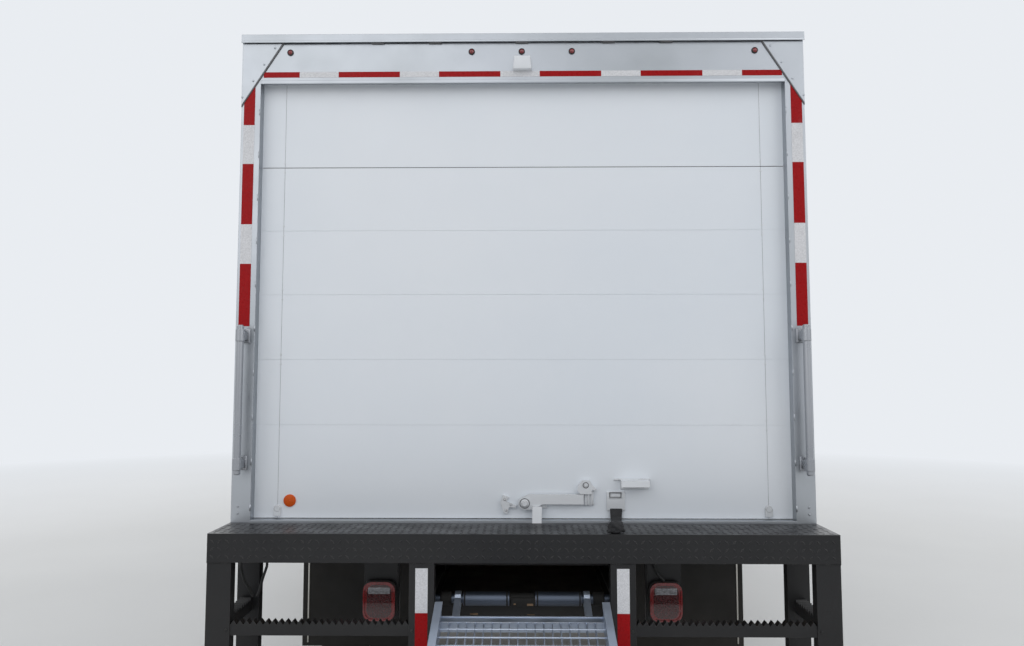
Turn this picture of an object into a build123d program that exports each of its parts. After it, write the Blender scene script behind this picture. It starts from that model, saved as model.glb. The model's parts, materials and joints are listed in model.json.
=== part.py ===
# Box truck with a pull-out loading ramp: long-nose cab, closed cargo box, step bumper.
# Millimetres. +Y forward, +X right, +Z up. The origin is on the ground, under the middle
# of the whole length, which runs from the front bumper to the toe of the lowered ramp.
import os
from math import cos, pi, radians, sin
from build123d import *

os.makedirs("parts", exist_ok=True)

# Whole truck
truck_length = 7730           # front bumper face to the rear frame's outer face
body_width = 2590
cab_start = 1400              # stations are measured back from the front bumper face
cab_end = 2750
cargo_start = 2850
front_axle_station = 850
rear_axle_ahead = 1600        # rear axle, ahead of the rear frame's face
seat_gap = 0.3                # between pieces that are fastened but not fused
running_gap = 0.5             # round a pin or a spindle
bearing_sides = 24            # facets of a bore that turns on its pin

# Step bumper and ramp
bumper_depth = 257
deck_top = 1090
beam_height = 117
ramp_slope = 19.1
ramp_pivot_ahead = 130        # pivot, ahead of the bumper's rear face
ramp_pivot_height = 798
ramp_width = 700
ramp_length = 2480            # pivot to the toe, along the slope
ramp_rail_start = 150
ramp_rail_top = 83            # heights over the pivot, square to the slope
ramp_rail_bottom = -22
ramp_deck_level = 23
ramp_rail_thickness = 24
ramp_taper = 170              # length of the pointed toe

# Chassis
rail_half_width = 432
rail_bottom = 700
rail_height = 240
rail_flange = 70
rail_plate = 8
rail_start = 150

# Wheels
tyre_radius = 465
tyre_width = 255
bead_radius = 286
bead_width = 194
tread_width = 204
tyre_bulge = 0.42             # height of the widest point, as a share of the section
wheel_facets = 36             # tyres and rims are flat-sided rings, which keeps them light
rim_well = 14
rim_lip = 16
rim_lip_width = 8
front_track_half = 1020
kingpin_half = 880
kingpin_radius = 22
steer_limit = 35
arch_radius = 570
rear_outer_face = 1220
dual_gap = 35

# Cab
cab_half_width = 1040
cab_roof_half_width = 960
cab_top = 2390
cab_wall = 40
cab_sill = 780
cab_floor_top = 1000
cab_floor_thickness = 45
belt_height = 1640
windshield_top = 2340
windshield_run = 450          # how far the windshield leans back over its height
roof_seam = 2300
door_front = 1475
door_rear = 2440
door_top = 2270
door_bottom = 800
door_gap = 10
pillar_width = 75
window_sill = 1665
window_top = 2205
glass_thickness = 5
glass_depth = 16

# Hood, which tilts forward with the fenders
hood_front = 60
hood_gap = 8
hood_half_width = 800
hood_nose_height = 1250
hood_rear_height = 1600
hood_plate = 10
fender_half_width = 1150
fender_top = 1140
fender_bottom = 720
nose_bottom = 790             # the nose stops above the hinge, so that it clears the rails
hood_hinge_station = 110
hood_hinge_height = 740
hood_pin_radius = 12

# Cargo box
cargo_wall = 40
cargo_floor_top = 1105
cargo_floor_thickness = 30
cargo_sill_height = 45
cargo_bottom = 1000
cargo_top = 3275
frame_depth = 50              # rear frame, also how far the roll-up door is set in
frame_top = 3287
frame_cap = 32
post_width = 87
header_height = 184
sill_height = 10
curtain_thickness = 25

# Derived places
slope = radians(ramp_slope)
toe_level = (ramp_length * sin(slope) - ramp_pivot_height) / cos(slope)
ramp_reach = ramp_length * cos(slope) + toe_level * sin(slope) - ramp_pivot_ahead
front_y = (truck_length + bumper_depth + ramp_reach) / 2
frame_y = front_y - truck_length
bumper_y = frame_y - bumper_depth
front_axle_y = front_y - front_axle_station
rear_axle_y = frame_y + rear_axle_ahead
pivot_y = bumper_y + ramp_pivot_ahead
rail_top = rail_bottom + rail_height
axle_z = tyre_radius
body_half = body_width / 2


def block(x0, x1, y0, y1, z0, z1, mode=Mode.ADD):
    with Locations(((x0 + x1) / 2, (y0 + y1) / 2, (z0 + z1) / 2)):
        Box(abs(x1 - x0), abs(y1 - y0), abs(z1 - z0), mode=mode)


def rod(start, end, radius, mode=Mode.ADD):
    direction = Vector(*end) - Vector(*start)
    with BuildSketch(Plane(origin=start, z_dir=direction)) as section:
        Circle(radius)
    extrude(section.sketch, amount=direction.length, mode=mode)


def bar(start, end, radius, sides=12, mode=Mode.ADD):
    """A round bar with flat sides: its corners, or the flats of a hole, are at the radius."""
    direction = Vector(*end) - Vector(*start)
    with BuildSketch(Plane(origin=start, z_dir=direction)) as section:
        RegularPolygon(radius, sides, major_radius=mode == Mode.ADD)
    extrude(section.sketch, amount=direction.length, mode=mode)


def outline(plane, points, radius=0, bevel=0, inset=0):
    with BuildSketch(plane) as shape:
        with BuildLine():
            Polyline(*points, close=True)
        make_face()
        if inset:
            offset(amount=-inset, kind=Kind.INTERSECTION)
        if radius:
            fillet(shape.vertices(), radius)
        if bevel:
            chamfer(shape.vertices(), bevel)
    return shape.sketch


def side_view(stations):
    return [(front_y - station, height) for station, height in stations]


def save(piece, name):
    piece.part.label = name
    export_step(piece.part, f"parts/{name}.step")


# Ladder frame of two channel rails and their crossmembers
# columns: station, lowest height of the crossmember
crossmembers = ((330, 720), (1450, 720), (2500, 720), (3500, 720), (4500, 720),
                (5250, 890), (6100, 890), (6900, 890), (7650, 890))
rail_front = front_y - rail_start
with BuildPart() as chassis_frame:
    for side in (-1, 1):
        web = side * rail_half_width
        inner = side * (rail_half_width - rail_flange)
        block(web, web - side * rail_plate, frame_y, rail_front, rail_bottom, rail_top)
        for low in (rail_bottom, rail_top - rail_plate):
            block(web, inner, frame_y, rail_front, low, low + rail_plate)
    for station, low in crossmembers:
        y = front_y - station
        reach = rail_half_width - rail_plate - seat_gap
        high = rail_top - rail_plate - seat_gap
        block(-reach, reach, y - 6, y, low, high)
        block(-reach, reach, y - 60, y, high - 8, high)
    for side in (-1, 1):
        pin_y = front_y - hood_hinge_station
        block(side * 380, side * 400, rail_front - 60, pin_y + 18, rail_bottom + rail_plate + seat_gap,
              hood_hinge_height + 20)
        rod((side * 330, pin_y, hood_hinge_height), (side * 380, pin_y, hood_hinge_height), hood_pin_radius)
save(chassis_frame, "chassis_frame")

# Engine and gearbox as one plain block, and the radiator ahead of it
engine_rear = cab_start - 60
with BuildPart() as engine:
    block(-300, 300, front_y - engine_rear, front_y - 560, 590, 1240)
    for side in (-1, 1):
        for station in (700, 1200):
            y = front_y - station
            block(side * 300, side * (rail_half_width - rail_plate), y - 50, y + 50, 760, 830)
save(engine, "engine")

with BuildPart() as radiator:
    block(-350, 350, front_y - 500, front_y - 420, 680, 1200)
    block(-370, 370, front_y - 510, front_y - 410, 655, 690)
    block(-370, 370, front_y - 510, front_y - 410, 1190, 1225)
    for side in (-1, 1):
        block(side * 350, side * (rail_half_width - rail_flange), front_y - 500, front_y - 420,
              rail_top - rail_plate, rail_top)
save(radiator, "radiator")

# Front axle: a dropped I-beam with an eye for the kingpin at each end
beam_depth = 90
beam_drop = 75
boss_radius = 42
boss_half = 65
with BuildPart() as front_axle:
    beam = [(-kingpin_half, axle_z - 40), (-600, axle_z - 40), (-500, axle_z - beam_drop - 45),
            (500, axle_z - beam_drop - 45), (600, axle_z - 40), (kingpin_half, axle_z - 40),
            (kingpin_half, axle_z + 40), (580, axle_z + 40), (480, axle_z - beam_drop + 45),
            (-480, axle_z - beam_drop + 45), (-580, axle_z + 40), (-kingpin_half, axle_z + 40)]
    extrude(outline(Plane.XZ.offset(-front_axle_y - beam_depth / 2), beam), amount=beam_depth)
    for x in (-kingpin_half, kingpin_half):
        bar((x, front_axle_y, axle_z - boss_half), (x, front_axle_y, axle_z + boss_half), boss_radius, 16)
        bar((x, front_axle_y, axle_z - boss_half), (x, front_axle_y, axle_z + boss_half),
            kingpin_radius + running_gap, bearing_sides, mode=Mode.SUBTRACT)
save(front_axle, "front_axle")
beam_top = axle_z - beam_drop + 45

# Steering knuckles: a yoke over the kingpin eye, with the spindle that carries the wheel
spindle_radius = 34
yoke_gap = 2
yoke_plate = 28
hub_inner = front_track_half - 55
hub_outer = front_track_half + 90
for name, side in (("knuckle_left", -1), ("knuckle_right", 1)):
    with BuildPart() as knuckle:
        x = side * kingpin_half
        low, high = axle_z - boss_half - yoke_gap, axle_z + boss_half + yoke_gap
        rod((x, front_axle_y, low), (x, front_axle_y, high), kingpin_radius)
        for level in (low - yoke_plate, high):
            bar((x, front_axle_y, level), (x, front_axle_y, level + yoke_plate), boss_radius, 16)
            block(x, x + side * 60, front_axle_y - 40, front_axle_y + 40, level, level + yoke_plate)
        block(x + side * 50, x + side * 75, front_axle_y - 55, front_axle_y + 55,
              low - yoke_plate, high + yoke_plate)
        rod((x + side * 70, front_axle_y, axle_z), (side * (hub_outer - 20), front_axle_y, axle_z),
            spindle_radius)
        block(x - side * 20, x + side * 20, front_axle_y - 190, front_axle_y - 20,
              low - yoke_plate, low - 4)
    save(knuckle, name)


# Tyres and rims turn about X; sections are drawn from the wheel's middle plane
# columns: half width at the height, share of the section height above the bead
tyre_section = ((bead_width / 2, 0.0), (tyre_width / 2, tyre_bulge), (tread_width / 2, 1.0))


def ring(x, y, points, sides=wheel_facets):
    """A solid turned about the wheel's axis in flat facets; points are distances along X and radii."""
    def corner(along, radius, place):
        angle = (place + 0.5) * 2 * pi / sides - pi / 2
        reach = radius / cos(pi / sides)
        return (x + along, y + reach * cos(angle), axle_z + reach * sin(angle))

    facets = []
    for near, far in zip(points, points[1:] + points[:1]):
        for place in range(sides if near[1] or far[1] else 0):
            corners = [corner(*near, place), corner(*far, place)]
            corners += [corner(*end, place + 1) for end in (far, near) if end[1]]
            facets.append(Face(Wire.make_polygon(corners, close=True)))
    solid = Solid(Shell(facets))
    add(solid if solid.volume > 0 else Solid(Shell([-facet for facet in facets])))


def mirrored(points):
    return points + [(-along, radius) for along, radius in reversed(points)]


def tyre(x, y):
    height = tyre_radius - bead_radius
    ring(x, y, mirrored([(half, bead_radius + share * height) for half, share in tyre_section]))


rim_edge = bead_width / 2 + rim_lip * (tyre_width - bead_width) / 2 / (tyre_bulge * (tyre_radius - bead_radius))


def barrel(x, y):
    ring(x, y, mirrored([(bead_width / 2 + seat_gap, bead_radius), (rim_edge + seat_gap, bead_radius + rim_lip),
                         (rim_edge + rim_lip_width, bead_radius + rim_lip),
                         (bead_width / 2 + rim_lip_width, bead_radius - rim_well)]))


hand_hole_radius = 28
hand_holes = 5
hand_hole_circle = 205
disc_plate = 12
disc_facets = 4 * hand_holes     # so that each hole lies inside one facet
disc_flange = 150


def disc(x, y, side, face):
    """A dished disc from the barrel to its hub flange, with hand holes; face is the flange's hub side."""
    outer = bead_radius - rim_well + 1
    ring(0, y, [(x + side * 40, outer), (x + side * 54, outer), (face + side * disc_plate, disc_flange),
                (face + side * disc_plate, 80), (face, 80), (face, disc_flange - 10)], disc_facets)
    for place in range(hand_holes):
        angle = 2 * pi * place / hand_holes + pi / 2
        middle = (y + hand_hole_circle * cos(angle), axle_z + hand_hole_circle * sin(angle))
        bar((min(x, face) - 60, *middle), (max(x, face) + 60, *middle), hand_hole_radius, 8, mode=Mode.SUBTRACT)


def hub(side, y, start, end, radius, bore):
    bar((side * start, y, axle_z), (side * end, y, axle_z), radius, 16)
    bar((side * start, y, axle_z), (side * (end - 15), y, axle_z), bore + running_gap, bearing_sides,
        mode=Mode.SUBTRACT)


for name, side in (("left", -1), ("right", 1)):
    wheel_x = side * front_track_half
    with BuildPart() as front_tyre:
        tyre(wheel_x, front_axle_y)
    save(front_tyre, f"front_tyre_{name}")
    with BuildPart() as front_rim:
        barrel(wheel_x, front_axle_y)
        disc(wheel_x, front_axle_y, side, wheel_x + side * 70)
        hub(side, front_axle_y, hub_inner, hub_outer, 95, spindle_radius)
    save(front_rim, f"front_rim_{name}")

rear_outer_x = rear_outer_face - tyre_width / 2
rear_inner_x = rear_outer_x - tyre_width - dual_gap
dual_middle = (rear_outer_x + rear_inner_x) / 2
rear_spindle_radius = 45
rear_hub_outer = rear_outer_x + 60
for name, side in (("left", -1), ("right", 1)):
    with BuildPart() as rear_tyres:
        tyre(side * rear_outer_x, rear_axle_y)
        tyre(side * rear_inner_x, rear_axle_y)
    save(rear_tyres, f"rear_tyres_{name}")
    with BuildPart() as rear_rims:
        for wheel_x, way in ((rear_outer_x, -1), (rear_inner_x, 1)):
            barrel(side * wheel_x, rear_axle_y)
            disc(side * wheel_x, rear_axle_y, side * way, side * (dual_middle - way * disc_plate))
        hub(side, rear_axle_y, dual_middle - 60, rear_hub_outer, 110, rear_spindle_radius)
    save(rear_rims, f"rear_rims_{name}")

# Rear axle: tube, banjo housing and the driveshaft up to the gearbox
tube_radius = 62
banjo_radius = 190
rear_spring_seat = axle_z + tube_radius + 8
with BuildPart() as rear_axle:
    tube_end = dual_middle - 70
    bar((-tube_end, rear_axle_y, axle_z), (tube_end, rear_axle_y, axle_z), tube_radius, 16)
    for side in (-1, 1):
        rod((side * tube_end, rear_axle_y, axle_z),
            (side * (rear_hub_outer - 20), rear_axle_y, axle_z), rear_spindle_radius)
        block(side * 365, side * 427, rear_axle_y - 70, rear_axle_y + 70, axle_z, rear_spring_seat)
    bar((-110, rear_axle_y, axle_z), (110, rear_axle_y, axle_z), banjo_radius, 20)
    bar((0, rear_axle_y, axle_z + 20), (0, rear_axle_y + 360, axle_z + 40), 70)
    shaft_end = front_y - engine_rear - seat_gap
    bar((0, rear_axle_y + 350, axle_z + 40), (0, shaft_end - 60, 640), 50, 8)
    bar((0, shaft_end - 90, 640), (0, shaft_end, 640), 55)
save(rear_axle, "rear_axle")


# Leaf springs: each a bowed pack, thickest over the axle, with hangers to the rail
def leaf_pack(x, y, seat, half_length, rise, width, thickness):
    """A bowed pack that thins towards its eyes; seat is the axle's top and rise the bow's height."""
    end_low = seat + rise
    stations = 6
    low, high = [], []
    for place in range(stations + 1):
        share = 2 * place / stations - 1
        low.append((y + share * half_length, seat + 0.4 * thickness + (rise - 0.4 * thickness) * share ** 2))
        high.append((y + share * half_length, seat + thickness + 10 + (rise + 12 - thickness) * share ** 2))
    extrude(outline(Plane.YZ.offset(x - width / 2), low + high[::-1]), amount=width)
    block(x - width / 2, x + width / 2, y - 110, y + 110, seat, seat + thickness)
    for end in (-1, 1):
        hanger = y + end * (half_length - 15)
        for near, far in ((-width / 2 - 8, -width / 2 - seat_gap), (width / 2 + seat_gap, width / 2 + 8)):
            block(x + near, x + far, hanger - 30, hanger + 30, end_low - 15, rail_bottom - seat_gap)


with BuildPart() as leaf_springs:
    for side in (-1, 1):
        leaf_pack(side * 396, front_axle_y, beam_top, 560, 90, 62, 60)
        leaf_pack(side * 396, rear_axle_y, rear_spring_seat, 640, 60, 62, 80)
save(leaf_springs, "leaf_springs")

# Fuel tank on the left rail, on two straps
with BuildPart() as fuel_tank:
    tank = [(-1060, 430), (-540, 430), (-540, 900), (-1060, 900)]
    extrude(outline(Plane.XZ.offset(-(front_y - 2950)), tank, radius=110), amount=950)
    for station in (3120, 3680):
        y = front_y - station
        block(-560, -rail_half_width, y - 40, y + 40, 470, 850)
save(fuel_tank, "fuel_tank")

# Steps under each cab door, hung from the rail
step_front = door_front + 10
step_rear = door_rear - 60
with BuildPart() as cab_steps:
    for side in (-1, 1):
        ya, yb = front_y - step_rear, front_y - step_front
        for level, outer in ((360, 1090), (600, 1050)):
            block(side * 780, side * outer, ya, yb, level, level + 30)
        for y in (ya, yb - 12):
            panel = [(side * 780, 360), (side * 1060, 360), (side * 1030, 700), (side * 780, 760)]
            extrude(outline(Plane.XZ.offset(-y - 12), panel), amount=12)
        block(side * 768, side * 780, ya, yb, 360, 760)
        for y in (ya + 120, yb - 200):
            block(side * rail_half_width, side * 768, y, y + 80, 720, 760)
save(cab_steps, "cab_steps")

# Exhaust: front pipe, muffler and tail pipe along the right rail
exhaust_x = 610
exhaust_z = 600
with BuildPart() as exhaust:
    y0, y1, y2, y3 = (front_y - station for station in (1500, 2900, 3750, 5200))
    bar((exhaust_x, y0, exhaust_z), (exhaust_x, y1, exhaust_z), 45)
    bar((exhaust_x, y1, exhaust_z), (exhaust_x, y2, exhaust_z), 120, 20)
    bar((exhaust_x, y2, exhaust_z), (exhaust_x, y3, exhaust_z), 45)
    bar((exhaust_x, y3 + 45, exhaust_z), (1180, y3 + 45, exhaust_z - 60), 45)
    for y in (y1 + 150, y2 + 100):
        block(rail_half_width, exhaust_x + 20, y - 25, y + 25, exhaust_z + 20, rail_bottom + 60)
save(exhaust, "exhaust")

# Mud flaps behind the rear wheels, on arms from the rails
flap_y = frame_y + 1000
flap_inner = 600
flap_outer = 1240
with BuildPart() as mud_flaps:
    for side in (-1, 1):
        block(side * flap_inner, side * flap_outer, flap_y, flap_y + 10, 230, 960)
        block(side * rail_half_width, side * flap_outer, flap_y + 10, flap_y + 50, 900, 940)
save(mud_flaps, "mud_flaps")

# Cab shell: a side outline crossed with a front outline, hollowed at the wall's thickness
lean = windshield_run / (windshield_top - belt_height)
lean_length = (1 + lean ** 2) ** 0.5


def windshield_station(height, inward=0):
    """Station of the leaning front line at a height, moved square to it by inward."""
    return cab_start + (height - belt_height) * lean + inward * lean_length


def cab_block(inset):
    side_points = side_view([(cab_start, cab_sill), (cab_start, belt_height),
                             (cab_start + windshield_run, windshield_top), (cab_start + windshield_run + 250, cab_top),
                             (cab_end - 200, cab_top), (cab_end, cab_top - 60), (cab_end, cab_sill)])
    front_points = [(-cab_half_width, cab_sill), (cab_half_width, cab_sill), (cab_half_width, belt_height),
                    (cab_roof_half_width, windshield_top - 60), (cab_roof_half_width - 130, cab_top),
                    (130 - cab_roof_half_width, cab_top), (-cab_roof_half_width, windshield_top - 60),
                    (-cab_half_width, belt_height)]
    with BuildPart() as shell:
        extrude(outline(Plane.YZ.offset(-cab_half_width), side_points, inset=inset), amount=2 * cab_half_width)
        front = outline(Plane.XZ.offset(-front_y), front_points, inset=inset)
        extrude(front, amount=cab_end + 200, mode=Mode.INTERSECT)
        if inset:
            block(-cab_half_width, cab_half_width, front_y - cab_end + inset, front_y - cab_start - inset,
                  cab_sill - 10, belt_height - 200, mode=Mode.ADD)
            block(-cab_half_width, -cab_half_width + inset, frame_y, front_y, 0, belt_height, mode=Mode.SUBTRACT)
            block(cab_half_width, cab_half_width - inset, frame_y, front_y, 0, belt_height, mode=Mode.SUBTRACT)
    return shell.part


cab_outer = cab_block(0)
cab_inner = cab_block(cab_wall)
with BuildPart() as cab_shell:
    add(cab_outer)
    add(cab_inner, mode=Mode.SUBTRACT)
with BuildPart() as glass_shell:
    add(cab_block(glass_depth))
    add(cab_block(glass_depth + glass_thickness), mode=Mode.SUBTRACT)

door_points = side_view([(door_front, door_bottom), (door_front, belt_height - 40),
                         (windshield_station(door_top, pillar_width), door_top),
                         (door_rear, door_top), (door_rear, door_bottom)])
window_points = side_view([(windshield_station(window_sill, 2 * pillar_width - 15), window_sill),
                           (windshield_station(window_top, 2 * pillar_width - 15), window_top),
                           (door_rear - 60, window_top), (door_rear - 60, window_sill)])
front_panel_depth = cab_wall + 10
front_panel_points = side_view([(cab_start - 50, cab_floor_top - 50), (cab_start - 50, belt_height),
                                (cab_start + 200, roof_seam),
                                (windshield_station(roof_seam, front_panel_depth), roof_seam),
                                (windshield_station(belt_height, front_panel_depth), belt_height),
                                (cab_start + front_panel_depth, belt_height - 18),
                                (cab_start + front_panel_depth, cab_floor_top - 50)])
windshield_points = [(-900, belt_height + 45), (900, belt_height + 45), (840, roof_seam - 30),
                     (-840, roof_seam - 30)]
back_panel_depth = cab_wall + 10
cab_bounds = 2 * cab_half_width + 200

with BuildPart() as cab_roof:
    add(cab_shell.part)
    block(-cab_half_width, cab_half_width, front_y - cab_end, front_y - cab_start, roof_seam, cab_top,
          mode=Mode.INTERSECT)
save(cab_roof, "cab_roof")

with BuildPart() as cab_front:
    add(cab_shell.part)
    extrude(outline(Plane.YZ.offset(-cab_bounds / 2), front_panel_points), amount=cab_bounds,
            mode=Mode.INTERSECT)
    extrude(outline(Plane.XZ.offset(-front_y), windshield_points, radius=60),
            amount=cab_start + windshield_run + 150, mode=Mode.SUBTRACT)
save(cab_front, "cab_front")

with BuildPart() as windshield:
    add(glass_shell.part)
    extrude(outline(Plane.XZ.offset(-front_y), windshield_points, radius=60),
            amount=cab_start + windshield_run + 150, mode=Mode.INTERSECT)
save(windshield, "windshield")

with BuildPart() as cab_back_wall:
    add(cab_shell.part)
    block(-cab_half_width, cab_half_width, front_y - cab_end, front_y - cab_end + back_panel_depth,
          cab_floor_top - 50, roof_seam, mode=Mode.INTERSECT)
save(cab_back_wall, "cab_back_wall")

with BuildPart() as cab_floor:
    inner_half = cab_half_width - cab_wall - seat_gap
    block(-inner_half, inner_half, front_y - cab_end + cab_wall + seat_gap,
          front_y - cab_start - cab_wall - seat_gap, cab_floor_top - cab_floor_thickness, cab_floor_top)
    for side in (-1, 1):
        for station in (cab_start + 200, cab_end - 200):
            y = front_y - station
            block(side * 370, side * 430, y - 50, y + 50, rail_top, cab_floor_top - cab_floor_thickness)
save(cab_floor, "cab_floor")

hinge_heights = (960, 1480)
hinge_radius = 13
hinge_pin_radius = 7
hinge_x = cab_half_width + hinge_radius + 1
hinge_y = front_y - door_front
for name, side in (("left", -1), ("right", 1)):
    near, far = side * 600, side * (cab_half_width + 100)
    plane = Plane.YZ.offset(min(near, far))
    reach = abs(far - near)
    with BuildPart() as cab_side:
        add(cab_shell.part)
        block(near, far, front_y - cab_end + back_panel_depth, front_y - cab_start, cab_sill, roof_seam,
              mode=Mode.INTERSECT)
        extrude(outline(plane, front_panel_points), amount=reach, mode=Mode.SUBTRACT)
        block(near, far, front_y - cab_start - front_panel_depth, front_y, 0, roof_seam, mode=Mode.SUBTRACT)
        extrude(outline(plane, door_points), amount=reach, mode=Mode.SUBTRACT)
        for z in hinge_heights:
            rod((side * hinge_x, hinge_y, z - 60), (side * hinge_x, hinge_y, z + 60), hinge_pin_radius)
            for low in (z - 60, z + 42):
                bar((side * hinge_x, hinge_y, low), (side * hinge_x, hinge_y, low + 18), hinge_radius)
                block(side * cab_half_width, side * (cab_half_width + 7), hinge_y, hinge_y + 24, low, low + 18)
    save(cab_side, f"cab_side_{name}")
    with BuildPart() as door:
        add(cab_shell.part)
        extrude(outline(plane, door_points, inset=door_gap), amount=reach, mode=Mode.INTERSECT)
        extrude(outline(plane, window_points, radius=40), amount=reach, mode=Mode.SUBTRACT)
        for z in hinge_heights:
            bar((side * hinge_x, hinge_y, z - 40), (side * hinge_x, hinge_y, z + 40), hinge_radius)
            block(side * cab_half_width, side * (cab_half_width + 7), hinge_y - 50, hinge_y - 5, z - 40, z + 40)
            bar((side * hinge_x, hinge_y, z - 40), (side * hinge_x, hinge_y, z + 40),
                hinge_pin_radius + running_gap, mode=Mode.SUBTRACT)
    save(door, f"door_{name}")
    with BuildPart() as door_glass:
        add(glass_shell.part)
        extrude(outline(plane, window_points, radius=40), amount=reach, mode=Mode.INTERSECT)
    save(door_glass, f"door_glass_{name}")
    with BuildPart() as mirror:
        y = front_y - door_front - 90
        skin = side * cab_half_width
        block(skin, skin + side * 10, y - 25, y + 25, 1530, 1638)
        for z in (1560, 1620):
            bar((skin + side * 5, y, z), (side * 1290, y + 20, z + 20), 11, 8)
        head = [(side * 1200, 1570), (side * 1400, 1570), (side * 1400, 2010), (side * 1200, 2010)]
        extrude(outline(Plane.XZ.offset(-y - 45), head, bevel=40), amount=60)
        bar((side * 1290, y + 20, 1560), (side * 1290, y + 20, 1600), 14, 8)
    save(mirror, f"mirror_{name}")

# Inside the cab: dashboard, steering wheel on its column, and two seats
wheel_centre = (-480, front_y - 1850, 1600)
column_tilt = 32
column_axis = (0, cos(radians(90 - column_tilt)) * -1, sin(radians(90 - column_tilt)))
with BuildPart() as dashboard:
    dash_front = cab_start + cab_wall + seat_gap
    dash = side_view([(dash_front, 1240), (dash_front, 1610),
                      (cab_start + 200, 1600), (cab_start + 320, 1500), (cab_start + 300, 1240)])
    extrude(outline(Plane.YZ.offset(-960), dash), amount=1920)
    base = Vector(*wheel_centre) - Vector(*column_axis) * 60
    foot = Vector(*wheel_centre) - Vector(*column_axis) * 330
    bar(tuple(foot), tuple(base), 38)
save(dashboard, "dashboard")

wheel_plane = Plane(origin=wheel_centre, x_dir=(1, 0, 0), z_dir=column_axis)
wheel_rim_radius = 229
wheel_rim_thickness = 28
with BuildPart() as steering_wheel:
    with BuildSketch(wheel_plane.offset(-wheel_rim_thickness / 2)) as rim_section:
        RegularPolygon(wheel_rim_radius, 28)
        RegularPolygon(wheel_rim_radius - wheel_rim_thickness, 28, mode=Mode.SUBTRACT)
    extrude(rim_section.sketch, amount=wheel_rim_thickness)
    with BuildSketch(wheel_plane.offset(-20)) as boss:
        RegularPolygon(52, 16)
    extrude(boss.sketch, amount=40)
    with Locations(wheel_plane):
        Box(2 * wheel_rim_radius - wheel_rim_thickness, 34, 14)
        with Locations((0, -wheel_rim_radius / 2 + 7, 0)):
            Box(34, wheel_rim_radius - 14, 14)
    tail = Vector(*wheel_centre) - Vector(*column_axis) * (60 - seat_gap)
    rod(tuple(tail), wheel_centre, 18)
save(steering_wheel, "steering_wheel")

with BuildPart() as seats:
    for x0, x1 in ((-760, -200), (-100, 760)):
        cushion = side_view([(2040, 1270), (2040, 1360), (2140, 1390), (2480, 1360), (2560, 1930),
                             (2600, 1960), (2660, 1930), (2600, 1270)])
        extrude(outline(Plane.YZ.offset(x0), cushion), amount=x1 - x0)
        block(x0 + 60, x1 - 60, front_y - 2560, front_y - 2080, cab_floor_top, 1271)
save(seats, "seats")

# Front bumper: a deep channel with swept ends
bumper_half = 1160
with BuildPart() as front_bumper:
    plan = [(-bumper_half, front_y - 230), (-bumper_half, front_y - 110), (-900, front_y),
            (900, front_y), (bumper_half, front_y - 110), (bumper_half, front_y - 230),
            (bumper_half - 12, front_y - 230), (bumper_half - 12, front_y - 120), (890, front_y - 12),
            (-890, front_y - 12), (12 - bumper_half, front_y - 120), (12 - bumper_half, front_y - 230)]
    extrude(outline(Plane.XY.offset(420), plan), amount=270)
    for side in (-1, 1):
        block(side * (rail_half_width - 70), side * rail_half_width, front_y - rail_start - 100, front_y - 12,
              460, rail_bottom)
save(front_bumper, "front_bumper")


# Hood: the sloping centre box with a fender along each side, hollowed from below and behind
def hood_block(inset, rear):
    low = fender_bottom - 3 * inset
    centre = side_view([(hood_front + 25, low), (hood_front, 900), (hood_front + 30, hood_nose_height - 60),
                        (hood_front + 120, hood_nose_height), (rear, hood_rear_height), (rear, low)])
    fender = side_view([(hood_front + 90, low), (hood_front + 70, 1000), (hood_front + 190, fender_top),
                        (rear, fender_top), (rear, low)])
    plan = [(-fender_half_width, front_y - rear), (-fender_half_width, front_y - 330), (-840, front_y - hood_front),
            (840, front_y - hood_front), (fender_half_width, front_y - 330), (fender_half_width, front_y - rear)]
    with BuildPart() as form:
        half = hood_half_width - inset
        extrude(outline(Plane.YZ.offset(-half), centre, inset=inset), amount=2 * half)
        chamfer(form.edges().filter_by(Axis.X, reverse=True).group_by(Axis.Z)[-1], 60)
        half = fender_half_width
        extrude(outline(Plane.YZ.offset(-half), fender, inset=inset), amount=2 * half)
        extrude(outline(Plane.XY, plan, inset=inset), amount=hood_rear_height + 100, mode=Mode.INTERSECT)
    return form.part


hood_rear = cab_start - hood_gap
lamp_inner, lamp_outer, lamp_low, lamp_high = 500, 800, 850, 1010
lug_inner, lug_outer = 338, 356
grille_half, grille_low, grille_high = 430, 820, 1180
with BuildPart() as hood:
    add(hood_block(0, hood_rear))
    add(hood_block(hood_plate, hood_rear + 200), mode=Mode.SUBTRACT)
    block(-fender_half_width, fender_half_width, front_y - hood_rear, front_y, 0, fender_bottom,
          mode=Mode.SUBTRACT)
    with BuildSketch(Plane.YZ.offset(-fender_half_width - 10)) as arch:
        with Locations((front_axle_y, axle_z)):
            Circle(arch_radius)
    extrude(arch.sketch, amount=2 * fender_half_width + 20, mode=Mode.SUBTRACT)
    block(-grille_half, grille_half, front_y - 200, front_y, grille_low, grille_high, mode=Mode.SUBTRACT)
    block(-rail_half_width - 40, rail_half_width + 40, front_y - 260, front_y, 0, nose_bottom, mode=Mode.SUBTRACT)
    for side in (-1, 1):
        block(side * lamp_inner, side * lamp_outer, front_y - 250, front_y, lamp_low, lamp_high,
              mode=Mode.SUBTRACT)
        pin_y = front_y - hood_hinge_station
        block(side * lug_inner, side * lug_outer, pin_y - 24, front_y - hood_front - 22, hood_hinge_height - 24,
              grille_low - seat_gap)
        bar((side * 330, pin_y, hood_hinge_height), (side * 360, pin_y, hood_hinge_height),
            hood_pin_radius + running_gap, mode=Mode.SUBTRACT)
save(hood, "hood")

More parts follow.
